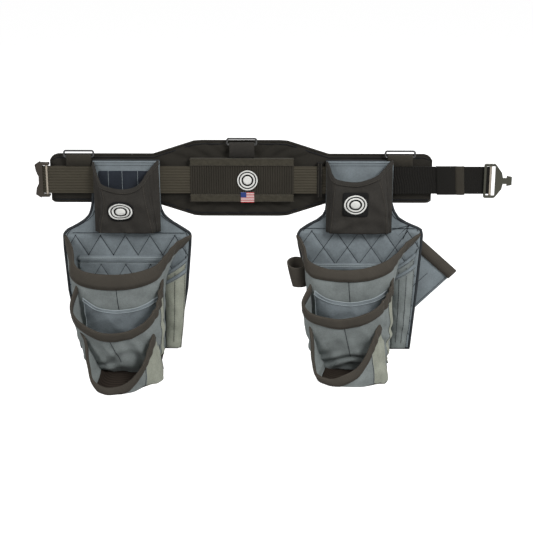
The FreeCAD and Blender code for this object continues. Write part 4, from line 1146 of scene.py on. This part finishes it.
def dress_sleeves(pouch):
    """Two flat tool sleeves at the pouch's right, one in front of the other."""
    rise = 10.0 if pouch.right else 0.0
    for part, rear, low, high in (("back_sleeve", 0.5, -179.0, -150.0),
                                  ("front_sleeve", 7.5, -193.0, -168.0)):
        depths = (0.0, 3.0, 5.5, 7.0, 7.8, 8.0, 7.8, 7.0, 5.5, 3.0, 0.0)
        spots = steps(11, 0.0, 1.0)
        mouth = [(64 + 40 * t, rear + d, low + rise + (high - low) * t) for t, d in zip(spots, depths)]
        waist = [(66 + 33 * t, rear + d * 1.05, -250) for t, d in zip(spots, depths)]
        foot = [(65 + 27 * t, rear * 0.7 + d * 0.5, -322) for t, d in zip(spots, depths)]
        sleeve = Pocket(pouch, (mouth, waist, foot), belly=1.0, seed=40 + rear)
        # On the left pouch the sleeves take the lighter side cloth: painted light.
        sleeve.shell(part + "_cloth", "grey_cordura" if pouch.right else "lit_side_cordura", rows=24, cols=40,
                     replaces=(pouch.name(part),))
        sleeve.lip(part + "_tape", outside=6 * MM, inside=6 * MM, cols=40, material="blue_cordura",
                   slot="pouch_cloth")
        seams = [sleeve.seam(u, low=0.1, high=0.86) for u in ((0.3, 0.62) if pouch.right else (0.5,))]
        stitch_rows(pouch.name(part + "_seams"), seams + [sleeve.seam(0.93, low=0.08, high=0.98)],
                    "dark_thread",
                    pouch.body, radius=0.5 * MM)


def dress_pouch(side):
    """Every soft piece of one pouch."""
    pouch = Pouch(side)
    dress_back_panel(pouch)
    dress_tunnel(pouch)
    dress_phone_pocket(pouch)
    upper = upper_pocket(pouch)
    panel_foot = [(x, 0.5, -325) for x in steps(11, -86, 62)]
    for row, pocket, rear in (("upper", upper, panel_foot),
                              ("middle", middle_pocket(pouch), FEET[side]["upper"]),
                              ("lower", lower_pocket(pouch), FEET[side]["floor"])):
        dress_pocket(pouch, pocket, row, (pouch.name(row + "_pocket"), pouch.name(row + "_lip")))
        pocket.floor(row + "_floor", rear)
    dress_inner_pockets(pouch, upper)
    dress_sleeves(pouch)
    return pouch


def dress_right_extras(pouch):
    """The dark tool loop and the square sleeve on the right pouch."""
    grid = []
    for t in steps(16):
        wide, deep = 16.5 - 4.5 * t ** 1.5, 12.5 - 3.0 * t
        row = []
        for k in range(40):
            c, s = math.cos(math.tau * k / 40), math.sin(math.tau * k / 40)
            tilt = 7.0 * s * (1 - t)
            row.append(pouch.at(-113.0 + 6.0 * t + wide * c, 14.0 - deep * s, -152.0 - 45.0 * t + tilt))
        grid.append(row)
    sheet_piece("right_loop_cloth", grid, "lip_webbing", pouch.body, wrap=True, replaces=("right_tool_loop",),
                slot="black_cloth", thickness=1.8 * MM)
    square_sleeve(pouch, [(328.0, -112.0), (396.0, -173.5), (319.0, -250.0), (251.0, -188.0)])


def square_sleeve(pouch, corners):
    """A square flat sleeve set on its corner, with a dark band along its open side."""
    a, b, c, d = [Vector((x * MM, 0, z * MM)) for x, z in corners]
    grid = []
    for v in steps(26):
        row = []
        for u in steps(30):
            point = (a.lerp(b, u)).lerp(d.lerp(c, u), v)
            edge = min(u, 1 - u, v, 1 - v)
            point.y = -12.0 * MM - 3.4 * MM * min(edge * 7, 1) ** 0.5 + wrinkle(point, 0.5, seed=50) * MM
            row.append(point)
        grid.append(row)
    back = [[Vector((p.x, -8.3 * MM, p.z)) for p in row] for row in grid]
    closed_sheet("right_square_cloth", grid, back, "blue_cordura", pouch.body,
                 replaces=("right_square_sleeve",),
                 slot="pouch_cloth")
    inward = (d - a).normalized() * 20 * MM
    band = []
    for t, y in ((0.0, -8.0), (-0.02, -12.0), (0.0, -16.6), (0.5, -17.2), (1.0, -17.0)):
        band.append([Vector(((a.lerp(b, u) + inward * t).x, y * MM, (a.lerp(b, u) + inward * t).z))
                     for u in steps(30)])
    sheet_piece("right_square_band", band, "lip_webbing", pouch.body, replaces=("right_sleeve_band",),
                slot="black_cloth", thickness=1.0 * MM)
    across = [Vector(((a.lerp(b, u)).lerp(d.lerp(c, u), v).x, -16.4 * MM,
                      (a.lerp(b, u)).lerp(d.lerp(c, u), v).z))
              for u, v in ((0.62, 0.36), (0.62, 0.72))]
    rows = [dense(across, 12), dense([a.lerp(c, 0.05), b.lerp(d, 0.05), c.lerp(a, 0.05), d.lerp(b, 0.05),
                                      a.lerp(c, 0.05)], 12)]
    for point in rows[1]:
        point.y = -14.8 * MM
    stitch_rows("right_square_stitch", rows, "dark_thread", pouch.body, radius=0.5 * MM)


# ---------------------------------------------------------------- the padded belt
def pad_edges(x):
    """Lowest and highest of the pad at a place along it, in millimetres."""
    top = [(-345.7, 30), (-338, 41), (-330, 44), (-158, 44), (-118, 57), (-84, 68), (-70, 69), (70, 69),
           (84, 68),
           (118, 57), (158, 44), (330, 44), (338, 41), (345.7, 30)]
    low = [(-347, -36), (-342, -43), (-335, -44), (-158, -44), (-118, -57), (-84, -68), (-70, -69), (70, -69),
           (84, -68), (118, -57), (158, -44), (335, -44), (342, -43), (347, -36)]
    return blend_keys(x, low), blend_keys(x, top)


def petal(x, z):
    """Distance, in millimetres, to the nearest quilting seam of the pad."""
    best = 60.0
    for sign in (1, -1):
        for (ax, az), (bx, bz) in PAD_SEAMS:
            wide, tall = bx - ax, (bz - az) * sign
            t = min(max(((x - ax) * wide + (z - az * sign) * tall) / (wide ** 2 + tall ** 2), 0.0), 1.0)
            best = min(best, math.hypot(x - ax - wide * t, z - az * sign - tall * t))
    return best


PAD_SEAMS = (((-62, 42), (-98, 60)), ((-30, 42), (-60, 64)), ((-30, 42), (0, 64)), ((30, 42), (0, 64)),
             ((30, 42), (60, 64)), ((62, 42), (98, 60)), ((-88, 34), (-140, 50)), ((88, 34), (140, 50)))


def pad_depth(x, t, z):
    """How far the pad's front stands out, in millimetres, before it puffs up; t runs from edge to edge."""
    end = min(1.0, (345.7 - abs(x)) / 9.0) ** 0.5
    crown = max(1 - abs(t) ** 6, 0.0) ** 0.5 * end
    groove = 1.0 - 0.8 * math.exp(-(petal(x, z) / 3.4) ** 2)
    return 6.5 + 6.0 * crown * groove


# Even mesh, air pressure and number of steps by which the pad is blown up, then how far it may move
PAD_MESH, PAD_AIR, PAD_STEPS = 3.6 * MM, 4.0, 20
PAD_SWELL, PAD_LOWEST = 3.5 * MM, -15.6 * MM


def puffed(piece, sewn):
    """Remesh a padded piece and blow it up between its sewn places, keeping the result in its mesh."""
    remesh = piece.modifiers.new("even", "REMESH")
    remesh.mode = "VOXEL"
    remesh.voxel_size = PAD_MESH
    graph = bpy.context.evaluated_depsgraph_get()
    graph.update()
    even = bpy.data.meshes.new_from_object(piece.evaluated_get(graph))
    piece.modifiers.remove(remesh)
    piece.data = even
    start = [vertex.co.copy() for vertex in even.vertices]
    group = piece.vertex_groups.new(name="sewn")
    for index, point in enumerate(start):
        group.add([index], sewn(point), "REPLACE")
    cushion = piece.modifiers.new("air", "CLOTH")
    cushion.settings.use_pressure = True
    cushion.settings.uniform_pressure_force = PAD_AIR
    cushion.settings.vertex_group_mass = "sewn"
    cushion.settings.effector_weights.gravity = 0.0
    cushion.collision_settings.use_collision = False
    for step in range(1, PAD_STEPS + 1):
        bpy.context.scene.frame_set(step)
    graph = bpy.context.evaluated_depsgraph_get()
    blown = bpy.data.meshes.new_from_object(piece.evaluated_get(graph))
    for vertex, point in zip(blown.vertices, start):
        move = vertex.co - point
        if move.length > PAD_SWELL:
            move *= PAD_SWELL / move.length
        vertex.co = point + move
        vertex.co.y = max(vertex.co.y, PAD_LOWEST)
    piece.modifiers.remove(cushion)
    piece.vertex_groups.clear()
    bpy.context.scene.frame_set(1)
    piece.data = blown
    layer = blown.uv_layers.new(name="metric")
    for loop in blown.loops:
        point = blown.vertices[loop.vertex_index].co
        layer.data[loop.index].uv = (point.x, point.z)
    blown.polygons.foreach_set("use_smooth", [True] * len(blown.polygons))
    soft = piece.modifiers.new("soft", "SUBSURF")
    soft.levels = soft.render_levels = 1


def dress_pad():
    """The foam pad: a crowned closed form, quilted about the panel and blown up, with a corded edge."""
    front, back = [], []
    for x in steps(220, -345.0, 345.0):
        low, high = pad_edges(x)
        row, rear = [], []
        for t in steps(34, -1.0, 1.0):
            z = (low + high) / 2 + (high - low) / 2 * t
            depth = pad_depth(x, t, z)
            slack = wrinkle(Vector((x, 0, z)) * MM, 1.0, size=0.03, seed=88) * min(1.0, 3 - 3 * abs(t))
            row.append(Vector((x, slack - depth, z)) * MM)
            rear.append(Vector((x, 0.0, z)) * MM)
        front.append(row)
        back.append(rear)
    piece = closed_sheet("pad_cloth", front, back, "pad_cordura", "belt",
                         replaces=("pad_back_lining", "pad_foam_core", "pad_front_cover", "pad_edge_binding"),
                         slot="pad_fabric")

    def sewn(point):
        """How firmly a place is held: seams, edges and the flat back."""
        x, z = point.x / MM, point.z / MM
        low, high = pad_edges(x)
        near = min(petal(x, z), high - z, z - low, 346 - abs(x))
        return 1.0 if near < 3.0 or point.y > -4.0 * MM else 0.0

    puffed(piece, sewn)
    edge = [Vector((x, -7.0, pad_edges(x)[1] - 0.4)) * MM for x in steps(200, -343, 343)]
    edge += [Vector((x, -7.0, pad_edges(x)[0] + 0.4)) * MM for x in steps(200, 343, -343)]
    tube("pad_cord", edge, 2.2 * MM, "pad_cordura", "belt", "pad_fabric")
    rows = []
    for sign in (1, -1):
        for start, end in PAD_SEAMS:
            row = []
            for f in steps(16):
                x, z = start[0] + (end[0] - start[0]) * f, (start[1] + (end[1] - start[1]) * f) * sign
                low, high = pad_edges(x)
                t = (z - (low + high) / 2) / ((high - low) / 2)
                row.append(Vector((x, -pad_depth(x, t, z) - 0.5, z)) * MM)
            rows.append(row)
    inset = [[Vector((x, -pad_depth(x, 0.93 * sign, sign * 40) - 0.9,
                      pad_edges(x)[sign > 0] - 5.0 * sign)) * MM
              for x in steps(260, -338, 338)] for sign in (1, -1)]
    stitch_rows("pad_stitch", rows + inset, "dark_thread", "belt", pitch=3.4 * MM,
                radius=0.8 * MM)
    lining = [[Vector((x, 0.3, pad_edges(x)[sign > 0] - 7.0 * sign)) * MM for x in steps(260, -338, 338)]
              for sign in (1, -1)]
    lining += [[Vector((x, 0.3, z)) * MM for z in steps(40, -48, 48)] for x in (-118, -59, 0, 59, 118)]
    lining += [[Vector((x, 0.3, z)) * MM for z in steps(40, -37, 37)]
               for x in (-290, -232, -175, 175, 232, 290)]
    stitch_rows("pad_lining_stitch", lining, "lip_thread", "belt", pitch=3.4 * MM)


def tube(name, path, radius, material, body, slot, closed=True, sides=10):
    """A round cord along a path."""
    grid, count = [], len(path)
    for i, point in enumerate(path):
        ahead = path[(i + 1) % count] if closed else path[min(i + 1, count - 1)]
        behind = path[i - 1] if closed or i else path[0]
        along = (ahead - behind).normalized()
        side = along.cross(Vector((0, 1, 0))).normalized()
        up = Vector((0, 1, 0))
        grid.append([point + side * radius * math.cos(math.tau * k / sides)
                     + up * radius * math.sin(math.tau * k / sides) for k in range(sides)])
    if closed:
        grid.append(grid[0])
    return sheet_piece(name, grid, material, body, wrap=True, slot=slot)


# Front, back and half height of the webbing, in millimetres
WEB_FRONT, WEB_BACK, WEB_HALF = -20.6, -18.0, 25.0
# Where it starts, where its tail starts and where it ends
WEB_START, TAIL_START, TAIL_END = -362.0, 262.0, 450.0


def dress_web():
    """The main webbing: ribbed along on the left, ribbed across beyond the right pouch, plain at its end."""
    pitch, relief = webbing().rib_pitch / MM, webbing().rib_relief / MM
    xs, zs = steps(200, WEB_START, TAIL_START), steps(81, WEB_HALF, -WEB_HALF)
    front = [[Vector((x, WEB_FRONT + relief * (0.5 - 0.5 * math.cos(math.tau * (z + WEB_HALF) / pitch)),
                      z)) * MM
              for x in xs] for z in zs]
    back = [[Vector((x, WEB_BACK, z)) * MM for x in xs] for z in reversed(zs)]
    sheet_piece("main_web_weave", front + back + [front[0]], "belt_webbing", "belt", replaces=("main_web",),
                slot="belt_webbing")
    front = []
    for x in steps(420, TAIL_START, TAIL_END):
        fade = min(max((382 - x) / 8.0, 0.25), 1.0)
        row = []
        for z in steps(60, WEB_HALF, -WEB_HALF):
            slant = x + 0.16 * z + 0.8 * math.sin(z / 6.0)
            rib = 0.5 * relief * fade * math.cos(math.tau * slant / (0.9 * pitch))
            row.append(Vector((x, WEB_FRONT + 0.3 - rib + wrinkle(Vector((x, 0, z)) * MM, 0.8, seed=77),
                               z)) * MM)
        front.append(row)
    back = [[Vector((p.x, WEB_BACK * MM, p.z)) for p in row] for row in front]
    closed_sheet("tail_web_weave", front, back, "tail_webbing", "belt", slot="belt_webbing")
    for part, start, stop, rise, tone in (("turned_end", 352.0, 386.0, 1.0, "tail_webbing"),
                                          ("doubled_end", 386.0, 402.0, 1.7, "panel_webbing")):
        tail = [[Vector((x - 0.06 * z, WEB_FRONT - rise * y, z)) * MM
                 for z in steps(24, WEB_HALF + 1.5, -1.5 - WEB_HALF)]
                for x, y in ((start, 0.2), (start + 3, 0.9), ((start + stop) / 2, 1.1), (stop - 3, 0.9),
                             (stop, 0.2))]
        sheet_piece(part + "_weave", tail, tone, "belt", slot="belt_webbing", thickness=1.0 * MM)


def dress_panel():
    """The ribbed panel at the middle, its fuzzy tapes, emblem, tag and the keeper beside it."""
    low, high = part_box("centre_panel")
    place_box("panel_cloth", (low[0], -20.6 * MM, low[2]), (high[0], -13.2 * MM, high[2]), "panel_webbing",
              "belt",
              "belt_webbing", replaces=("centre_panel",), bevel=1.2 * MM)
    panel_ribs(low, high)
    for part, seed in (("top", 61), ("bottom", 67)):
        node = "panel_%s_tape" % part
        low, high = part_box(node)
        front = []
        for z in steps(14, high[2], low[2]):
            row = []
            for x in steps(120, low[0], high[0]):
                worn = wrinkle(Vector((x, 0, z)), 0.7, size=0.006, seed=seed)
                row.append(Vector((x, (-23.0 + worn) * MM, z)))
            front.append(row)
        back = [[Vector((p.x, -20.0 * MM, p.z)) for p in row] for row in front]
        closed_sheet("panel_%s_loops" % part, front, back, "loop_tape", "belt", replaces=(node,),
                     slot="fuzzy_tape")
        rows = [dense([Vector((low[0], -23.4 * MM, z)), Vector((high[0], -23.4 * MM, z))], 60)
                for z in (low[2] + 1.5 * MM, high[2] - 1.5 * MM)]
        stitch_rows("panel_%s_stitch" % part, rows, "lip_thread", "belt")
    round_label()
    striped_tag()
    low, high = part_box("web_keeper")
    place_box("keeper_cloth", (low[0], -22.6 * MM, low[2] + 6 * MM), (high[0], -13.0 * MM, high[2] - 6 * MM),
              "tail_webbing", "belt", "belt_webbing", replaces=("web_keeper",), bevel=0.6 * MM)
    rows = [dense([Vector((x * MM, -23.0 * MM, 30 * MM)), Vector((x * MM, -23.0 * MM, -30 * MM))], 24)
            for x in (140.0, 145.0)]
    stitch_rows("keeper_stitch", rows, "lip_thread", "belt", pitch=2.6 * MM)


def panel_ribs(low, high):
    """Upright ribs over the panel, laid by a rule."""
    tree = bpy.data.node_groups.new("Panel ribs", "GeometryNodeTree")
    for label, kind in (("Geometry", "NodeSocketGeometry"), ("Count", "NodeSocketInt"),
                        ("Pitch", "NodeSocketFloat"), ("Cloth", "NodeSocketMaterial")):
        tree.interface.new_socket(label, in_out="INPUT", socket_type=kind)
    tree.interface.new_socket("Geometry", in_out="OUTPUT", socket_type="NodeSocketGeometry")
    new, link = tree.nodes.new, tree.links.new
    start = new("NodeGroupInput")
    offset = new("ShaderNodeCombineXYZ")
    link(start.outputs["Pitch"], offset.inputs["X"])
    line = new("GeometryNodeMeshLine")
    link(start.outputs["Count"], line.inputs["Count"])
    link(offset.outputs[0], line.inputs["Offset"])
    place = new("GeometryNodeInstanceOnPoints")
    link(line.outputs[0], place.inputs["Points"])
    link(start.outputs["Geometry"], place.inputs["Instance"])
    end_tree(tree, place.outputs[0], start.outputs["Cloth"])
    count, radius = webbing().panel_ribs, webbing().panel_rib_radius
    pitch = (high[0] - low[0] - 2 * radius) / (count - 1)
    vertices = []
    for z in (26.5, -26.5):
        for k in range(7):
            angle = math.pi * k / 6
            vertices.append((low[0] + radius - radius * math.cos(angle),
                             -20.5 * MM - 1.5 * MM * math.sin(angle),
                             z * MM))
    faces = [(k, (k + 1) % 7, (k + 1) % 7 + 7, k + 7) for k in range(7)] + [tuple(range(7)),
                                                                            tuple(range(7, 14))]
    piece = new_object("panel_rib_rows", vertices, [], faces)
    close_up(piece.data, True)
    run_tree(piece, tree, {"Count": count, "Pitch": pitch, "Cloth": FINISHES["panel_webbing"]})
    own(piece, "belt")


def round_label():
    """The round black emblem on the panel, with a plain stitched ring and a plain spot."""
    low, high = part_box("centre_label")
    centre, radius = (low[0] + high[0]) / 2 / MM, 18.6

    def disc(rings):
        return [[Vector((centre + radius * r * math.cos(math.tau * k / 64), y,
                         radius * r * math.sin(math.tau * k / 64))) * MM for k in range(64)] for r,
                y in rings]

    sheet_piece("round_label", disc(((0.0, -23.3), (0.5, -23.3), (0.9, -23.3), (0.97, -23.2), (1.0, -22.4))),
                "label_cloth", "belt", wrap=True, replaces=("centre_label",), slot="black_cloth",
                thickness=0.6 * MM)
    for part, low_r, high_r in (("round_label_ring", 0.86, 0.99), ("round_label_inner_ring", 0.58, 0.74),
                                ("round_label_spot", 0.0, 0.42)):
        sheet_piece(part, disc([(r, -23.9) for r in steps(4, low_r, high_r)]), "bare_label", "belt",
                    wrap=True,
                    slot="label_white", thickness=0.5 * MM)


def striped_tag():
    """A small woven tag with plain stripes and a bare blue corner."""
    low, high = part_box("striped_tag")
    place_box("tag_cloth", (low[0], -24.0 * MM, low[2]), (high[0], -23.0 * MM, high[2]), "bare_label", "belt",
              "striped_cloth", replaces=("striped_tag",))
    count = 7
    pitch = (high[2] - low[2]) / (2 * count - 1)
    for k in range(count):
        z = low[2] + 2 * k * pitch
        place_box("tag_stripe_%d" % k, (low[0], -24.2 * MM, z), (high[0], -23.9 * MM, z + pitch), "red_yarn",
                  "belt",
                  "striped_cloth")
    place_box("tag_corner", (low[0], -24.35 * MM, (low[2] + high[2]) / 2),
              (low[0] + 10 * MM, -23.9 * MM, high[2]),
              "blue_yarn", "belt", "striped_cloth")


# Radius of a tab's wrap, height of the wire's middle over the ring's foot, and the wire's place
TAB_WRAP, WIRE_RISE, WIRE_PLACE = 3.3, 1.7 + 0.4, -17.4


def dress_tabs():
    """Webbing tabs wrapped round the rings' lower bars."""
    for side, material in (("left", "panel_webbing"), ("centre", "black_cordura"),
                           ("right", "panel_webbing")):
        low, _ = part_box("slot_ring_" + side)
        tab_low, tab_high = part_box("ring_tab_" + side)
        cz = low[2] + WIRE_RISE * MM
        cy = WIRE_PLACE * MM
        x0, x1 = tab_low[0], tab_high[0]
        path = [(cy - TAB_WRAP * MM, tab_low[2])]
        for k in range(13):
            angle = math.pi * k / 12
            path.append((cy - TAB_WRAP * MM * math.cos(angle), cz + TAB_WRAP * MM * math.sin(angle)))
        path.append((cy + 3.0 * MM, tab_low[2]))
        grid = [[Vector((x, y, z)) for x in steps(14, x0, x1)] for y, z in path]
        sheet_piece("ring_tab_%s_weave" % side, grid, material, "belt", replaces=("ring_tab_" + side,),
                    slot="belt_webbing", thickness=1.3 * MM)


# ---------------------------------------------------------------- hardware
METALS = (("slot_ring_", "black_wire"), ("socket_", "bronze_alloy"), ("tongue_", "olive_alloy"))


def dress_hardware():
    """Rings, buckle ends, bars and rivets keep their own form, with a better finish."""
    for name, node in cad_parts.items():
        for prefix, material in METALS:
            if name.startswith(prefix):
                wanted = "bare_steel" if name.endswith(("web_bar", "rivets")) else material
                node.data.materials.clear()
                node.data.materials.append(FINISHES[wanted])


# ---------------------------------------------------------------- stage
# Half size and height of the floor in metres, and how much of its white doesn't depend on the lamps
FLOOR_HALF, FLOOR_HEIGHT, FLOOR_GLOW = 9.0, -0.46, 0.85


def seen_plainly(tree):
    """One for what the camera, a gloss or a glass sees directly, and nothing for all other light."""
    path = tree.nodes.new("ShaderNodeLightPath")
    sight = math_node(tree, "MAXIMUM", path.outputs["Is Camera Ray"], path.outputs["Is Glossy Ray"])
    return math_node(tree, "MAXIMUM", sight, path.outputs["Is Transmission Ray"])


def build_floor():
    """A plain pale floor some way under the pouches: white to look at, and still shaded by the belt."""
    corners = [(x * FLOOR_HALF, y * FLOOR_HALF, FLOOR_HEIGHT) for x,
               y in ((-1, -1), (1, -1), (1, 1), (-1, 1))]
    floor = new_object("floor", corners, [], [(0, 1, 2, 3)])
    paint = bpy.data.materials.new("floor_paint")
    paint.use_nodes = True
    tree = paint.node_tree
    shader = tree.nodes["Principled BSDF"]
    shader.inputs["Base Color"].default_value = (0.5, 0.5, 0.5, 1)
    shader.inputs["Roughness"].default_value = 0.95
    shader.inputs["Specular IOR Level"].default_value = 0.0
    shader.inputs["Emission Color"].default_value = (1, 1, 1, 1)
    glow = math_node(tree, "MULTIPLY", seen_plainly(tree), FLOOR_GLOW)
    tree.links.new(glow, shader.inputs["Emission Strength"])
    floor.data.materials.append(paint)


# The point that the camera and the lamps face, in metres
STAGE_MIDDLE = (0.0463, -0.02, -0.1640)
# Each lamp's place and size in metres, and its share of the strength set in the panel
LAMPS = {"main_lamp": ((1.5, -1.7, 1.5), 0.9, 1.0),
         "side_lamp": ((-1.8, -1.4, 0.9), 1.2, 0.4),
         "rear_lamp": ((0.4, 2.2, 1.4), 1.4, 0.6)}


def build_stage():
    """Camera, lamps, white backdrop and floor."""
    settings = bpy.context.scene.belt_stage
    target = Vector(STAGE_MIDDLE)
    az, el, far = settings.azimuth, settings.elevation, settings.distance
    away = Vector((math.sin(az) * math.cos(el), -math.cos(az) * math.cos(el), math.sin(el)))
    data = bpy.data.cameras.new("view")
    camera = bpy.data.objects.new("view", data)
    bpy.context.collection.objects.link(camera)
    camera.location = target + away * far
    camera.rotation_euler = (-away).to_track_quat("-Z", "Y").to_euler()
    data.angle = 2 * math.atan(settings.field / 2 / far)
    bpy.context.scene.camera = camera

    for name, (place, size, share) in LAMPS.items():
        light = bpy.data.lights.new(name, "AREA")
        light.energy, light.size = settings.lamp * share, size
        holder = bpy.data.objects.new(name, light)
        holder.location = place
        holder.rotation_euler = (target - Vector(place)).to_track_quat("-Z", "Y").to_euler()
        bpy.context.collection.objects.link(holder)
    world = bpy.data.worlds.new("backdrop")
    world.use_nodes = True
    tree = world.node_tree
    mix = tree.nodes.new("ShaderNodeMix")
    mix.data_type = "FLOAT"
    tree.links.new(seen_plainly(tree), mix.inputs["Factor"])
    mix.inputs[2].default_value = settings.fill
    mix.inputs[3].default_value = 1.0
    backdrop = tree.nodes["Background"]
    backdrop.inputs["Color"].default_value = (1, 1, 1, 1)
    tree.links.new(mix.outputs[0], backdrop.inputs["Strength"])
    bpy.context.scene.world = world
    build_floor()
    bpy.context.scene.view_settings.view_transform = "Standard"


# ---------------------------------------------------------------- operators, panel, registration
class BELT_OT_finishes(bpy.types.Operator):
    """Build every cloth, webbing, thread and metal finish."""
    bl_idname = "belt.finishes"
    bl_label = "Finishes"

    def execute(self, context):
        build_finishes()
        return {"FINISHED"}


class BELT_OT_pad(bpy.types.Operator):
    """Dress the quilted pad and its corded edge."""
    bl_idname = "belt.pad"
    bl_label = "Pad"

    def execute(self, context):
        dress_pad()
        return {"FINISHED"}


class BELT_OT_web(bpy.types.Operator):
    """Dress the main webbing and its end."""
    bl_idname = "belt.web"
    bl_label = "Webbing"

    def execute(self, context):
        dress_web()
        return {"FINISHED"}


class BELT_OT_centre_panel(bpy.types.Operator):
    """Dress the ribbed panel, its tapes, emblem, tag and the keeper."""
    bl_idname = "belt.centre_panel"
    bl_label = "Centre panel"

    def execute(self, context):
        dress_panel()
        return {"FINISHED"}


class BELT_OT_ring_tabs(bpy.types.Operator):
    """Dress the tabs that hold the rings."""
    bl_idname = "belt.ring_tabs"
    bl_label = "Ring tabs"

    def execute(self, context):
        dress_tabs()
        return {"FINISHED"}


class BELT_OT_hardware(bpy.types.Operator):
    """Finish the rings and the buckle ends."""
    bl_idname = "belt.hardware"
    bl_label = "Hardware"

    def execute(self, context):
        dress_hardware()
        return {"FINISHED"}


class BELT_OT_left_pouch(bpy.types.Operator):
    """Dress the left pouch."""
    bl_idname = "belt.left_pouch"
    bl_label = "Left pouch"

    def execute(self, context):
        dress_pouch("left")
        return {"FINISHED"}


class BELT_OT_right_pouch(bpy.types.Operator):
    """Dress the right pouch, with its tool loop and square sleeve."""
    bl_idname = "belt.right_pouch"
    bl_label = "Right pouch"

    def execute(self, context):
        dress_right_extras(dress_pouch("right"))
        return {"FINISHED"}


class BELT_OT_stage(bpy.types.Operator):
    """Set the camera, the lamps, the backdrop and the floor."""
    bl_idname = "belt.stage"
    bl_label = "Stage"

    def execute(self, context):
        build_stage()
        return {"FINISHED"}


OPERATORS = (BELT_OT_finishes, BELT_OT_pad, BELT_OT_web, BELT_OT_centre_panel, BELT_OT_ring_tabs,
             BELT_OT_hardware,
             BELT_OT_left_pouch, BELT_OT_right_pouch, BELT_OT_stage)


class BELT_PT_panel(bpy.types.Panel):
    """Lists the pieces of the belt."""
    bl_idname = "BELT_PT_panel"
    bl_label = "Tool Belt"
    bl_space_type = "VIEW_3D"
    bl_region_type = "UI"
    bl_category = "Tool Belt"

    def draw(self, context):
        for name, group in SETTINGS:
            box = self.layout.box()
            for key in group.__annotations__:
                box.prop(getattr(context.scene, name), key)
        for item in OPERATORS:
            self.layout.operator(item.bl_idname)


def register():
    """Make the panel, its settings and its operators known."""
    for name, group in SETTINGS:
        bpy.utils.register_class(group)
        setattr(bpy.types.Scene, name, PointerProperty(type=group))
    for item in OPERATORS + (BELT_PT_panel,):
        bpy.utils.register_class(item)


def unregister():
    """Take the panel, its settings and its operators away again."""
    for item in reversed(OPERATORS + (BELT_PT_panel,)):
        bpy.utils.unregister_class(item)
    for name, group in reversed(SETTINGS):
        delattr(bpy.types.Scene, name)
        bpy.utils.unregister_class(group)


def main():
    """Dress the whole belt, set the stage and finish."""
    register()
    for item in OPERATORS:
        getattr(bpy.ops.belt, item.bl_idname.split(".")[1])()


if __name__ == "__main__":
    main()
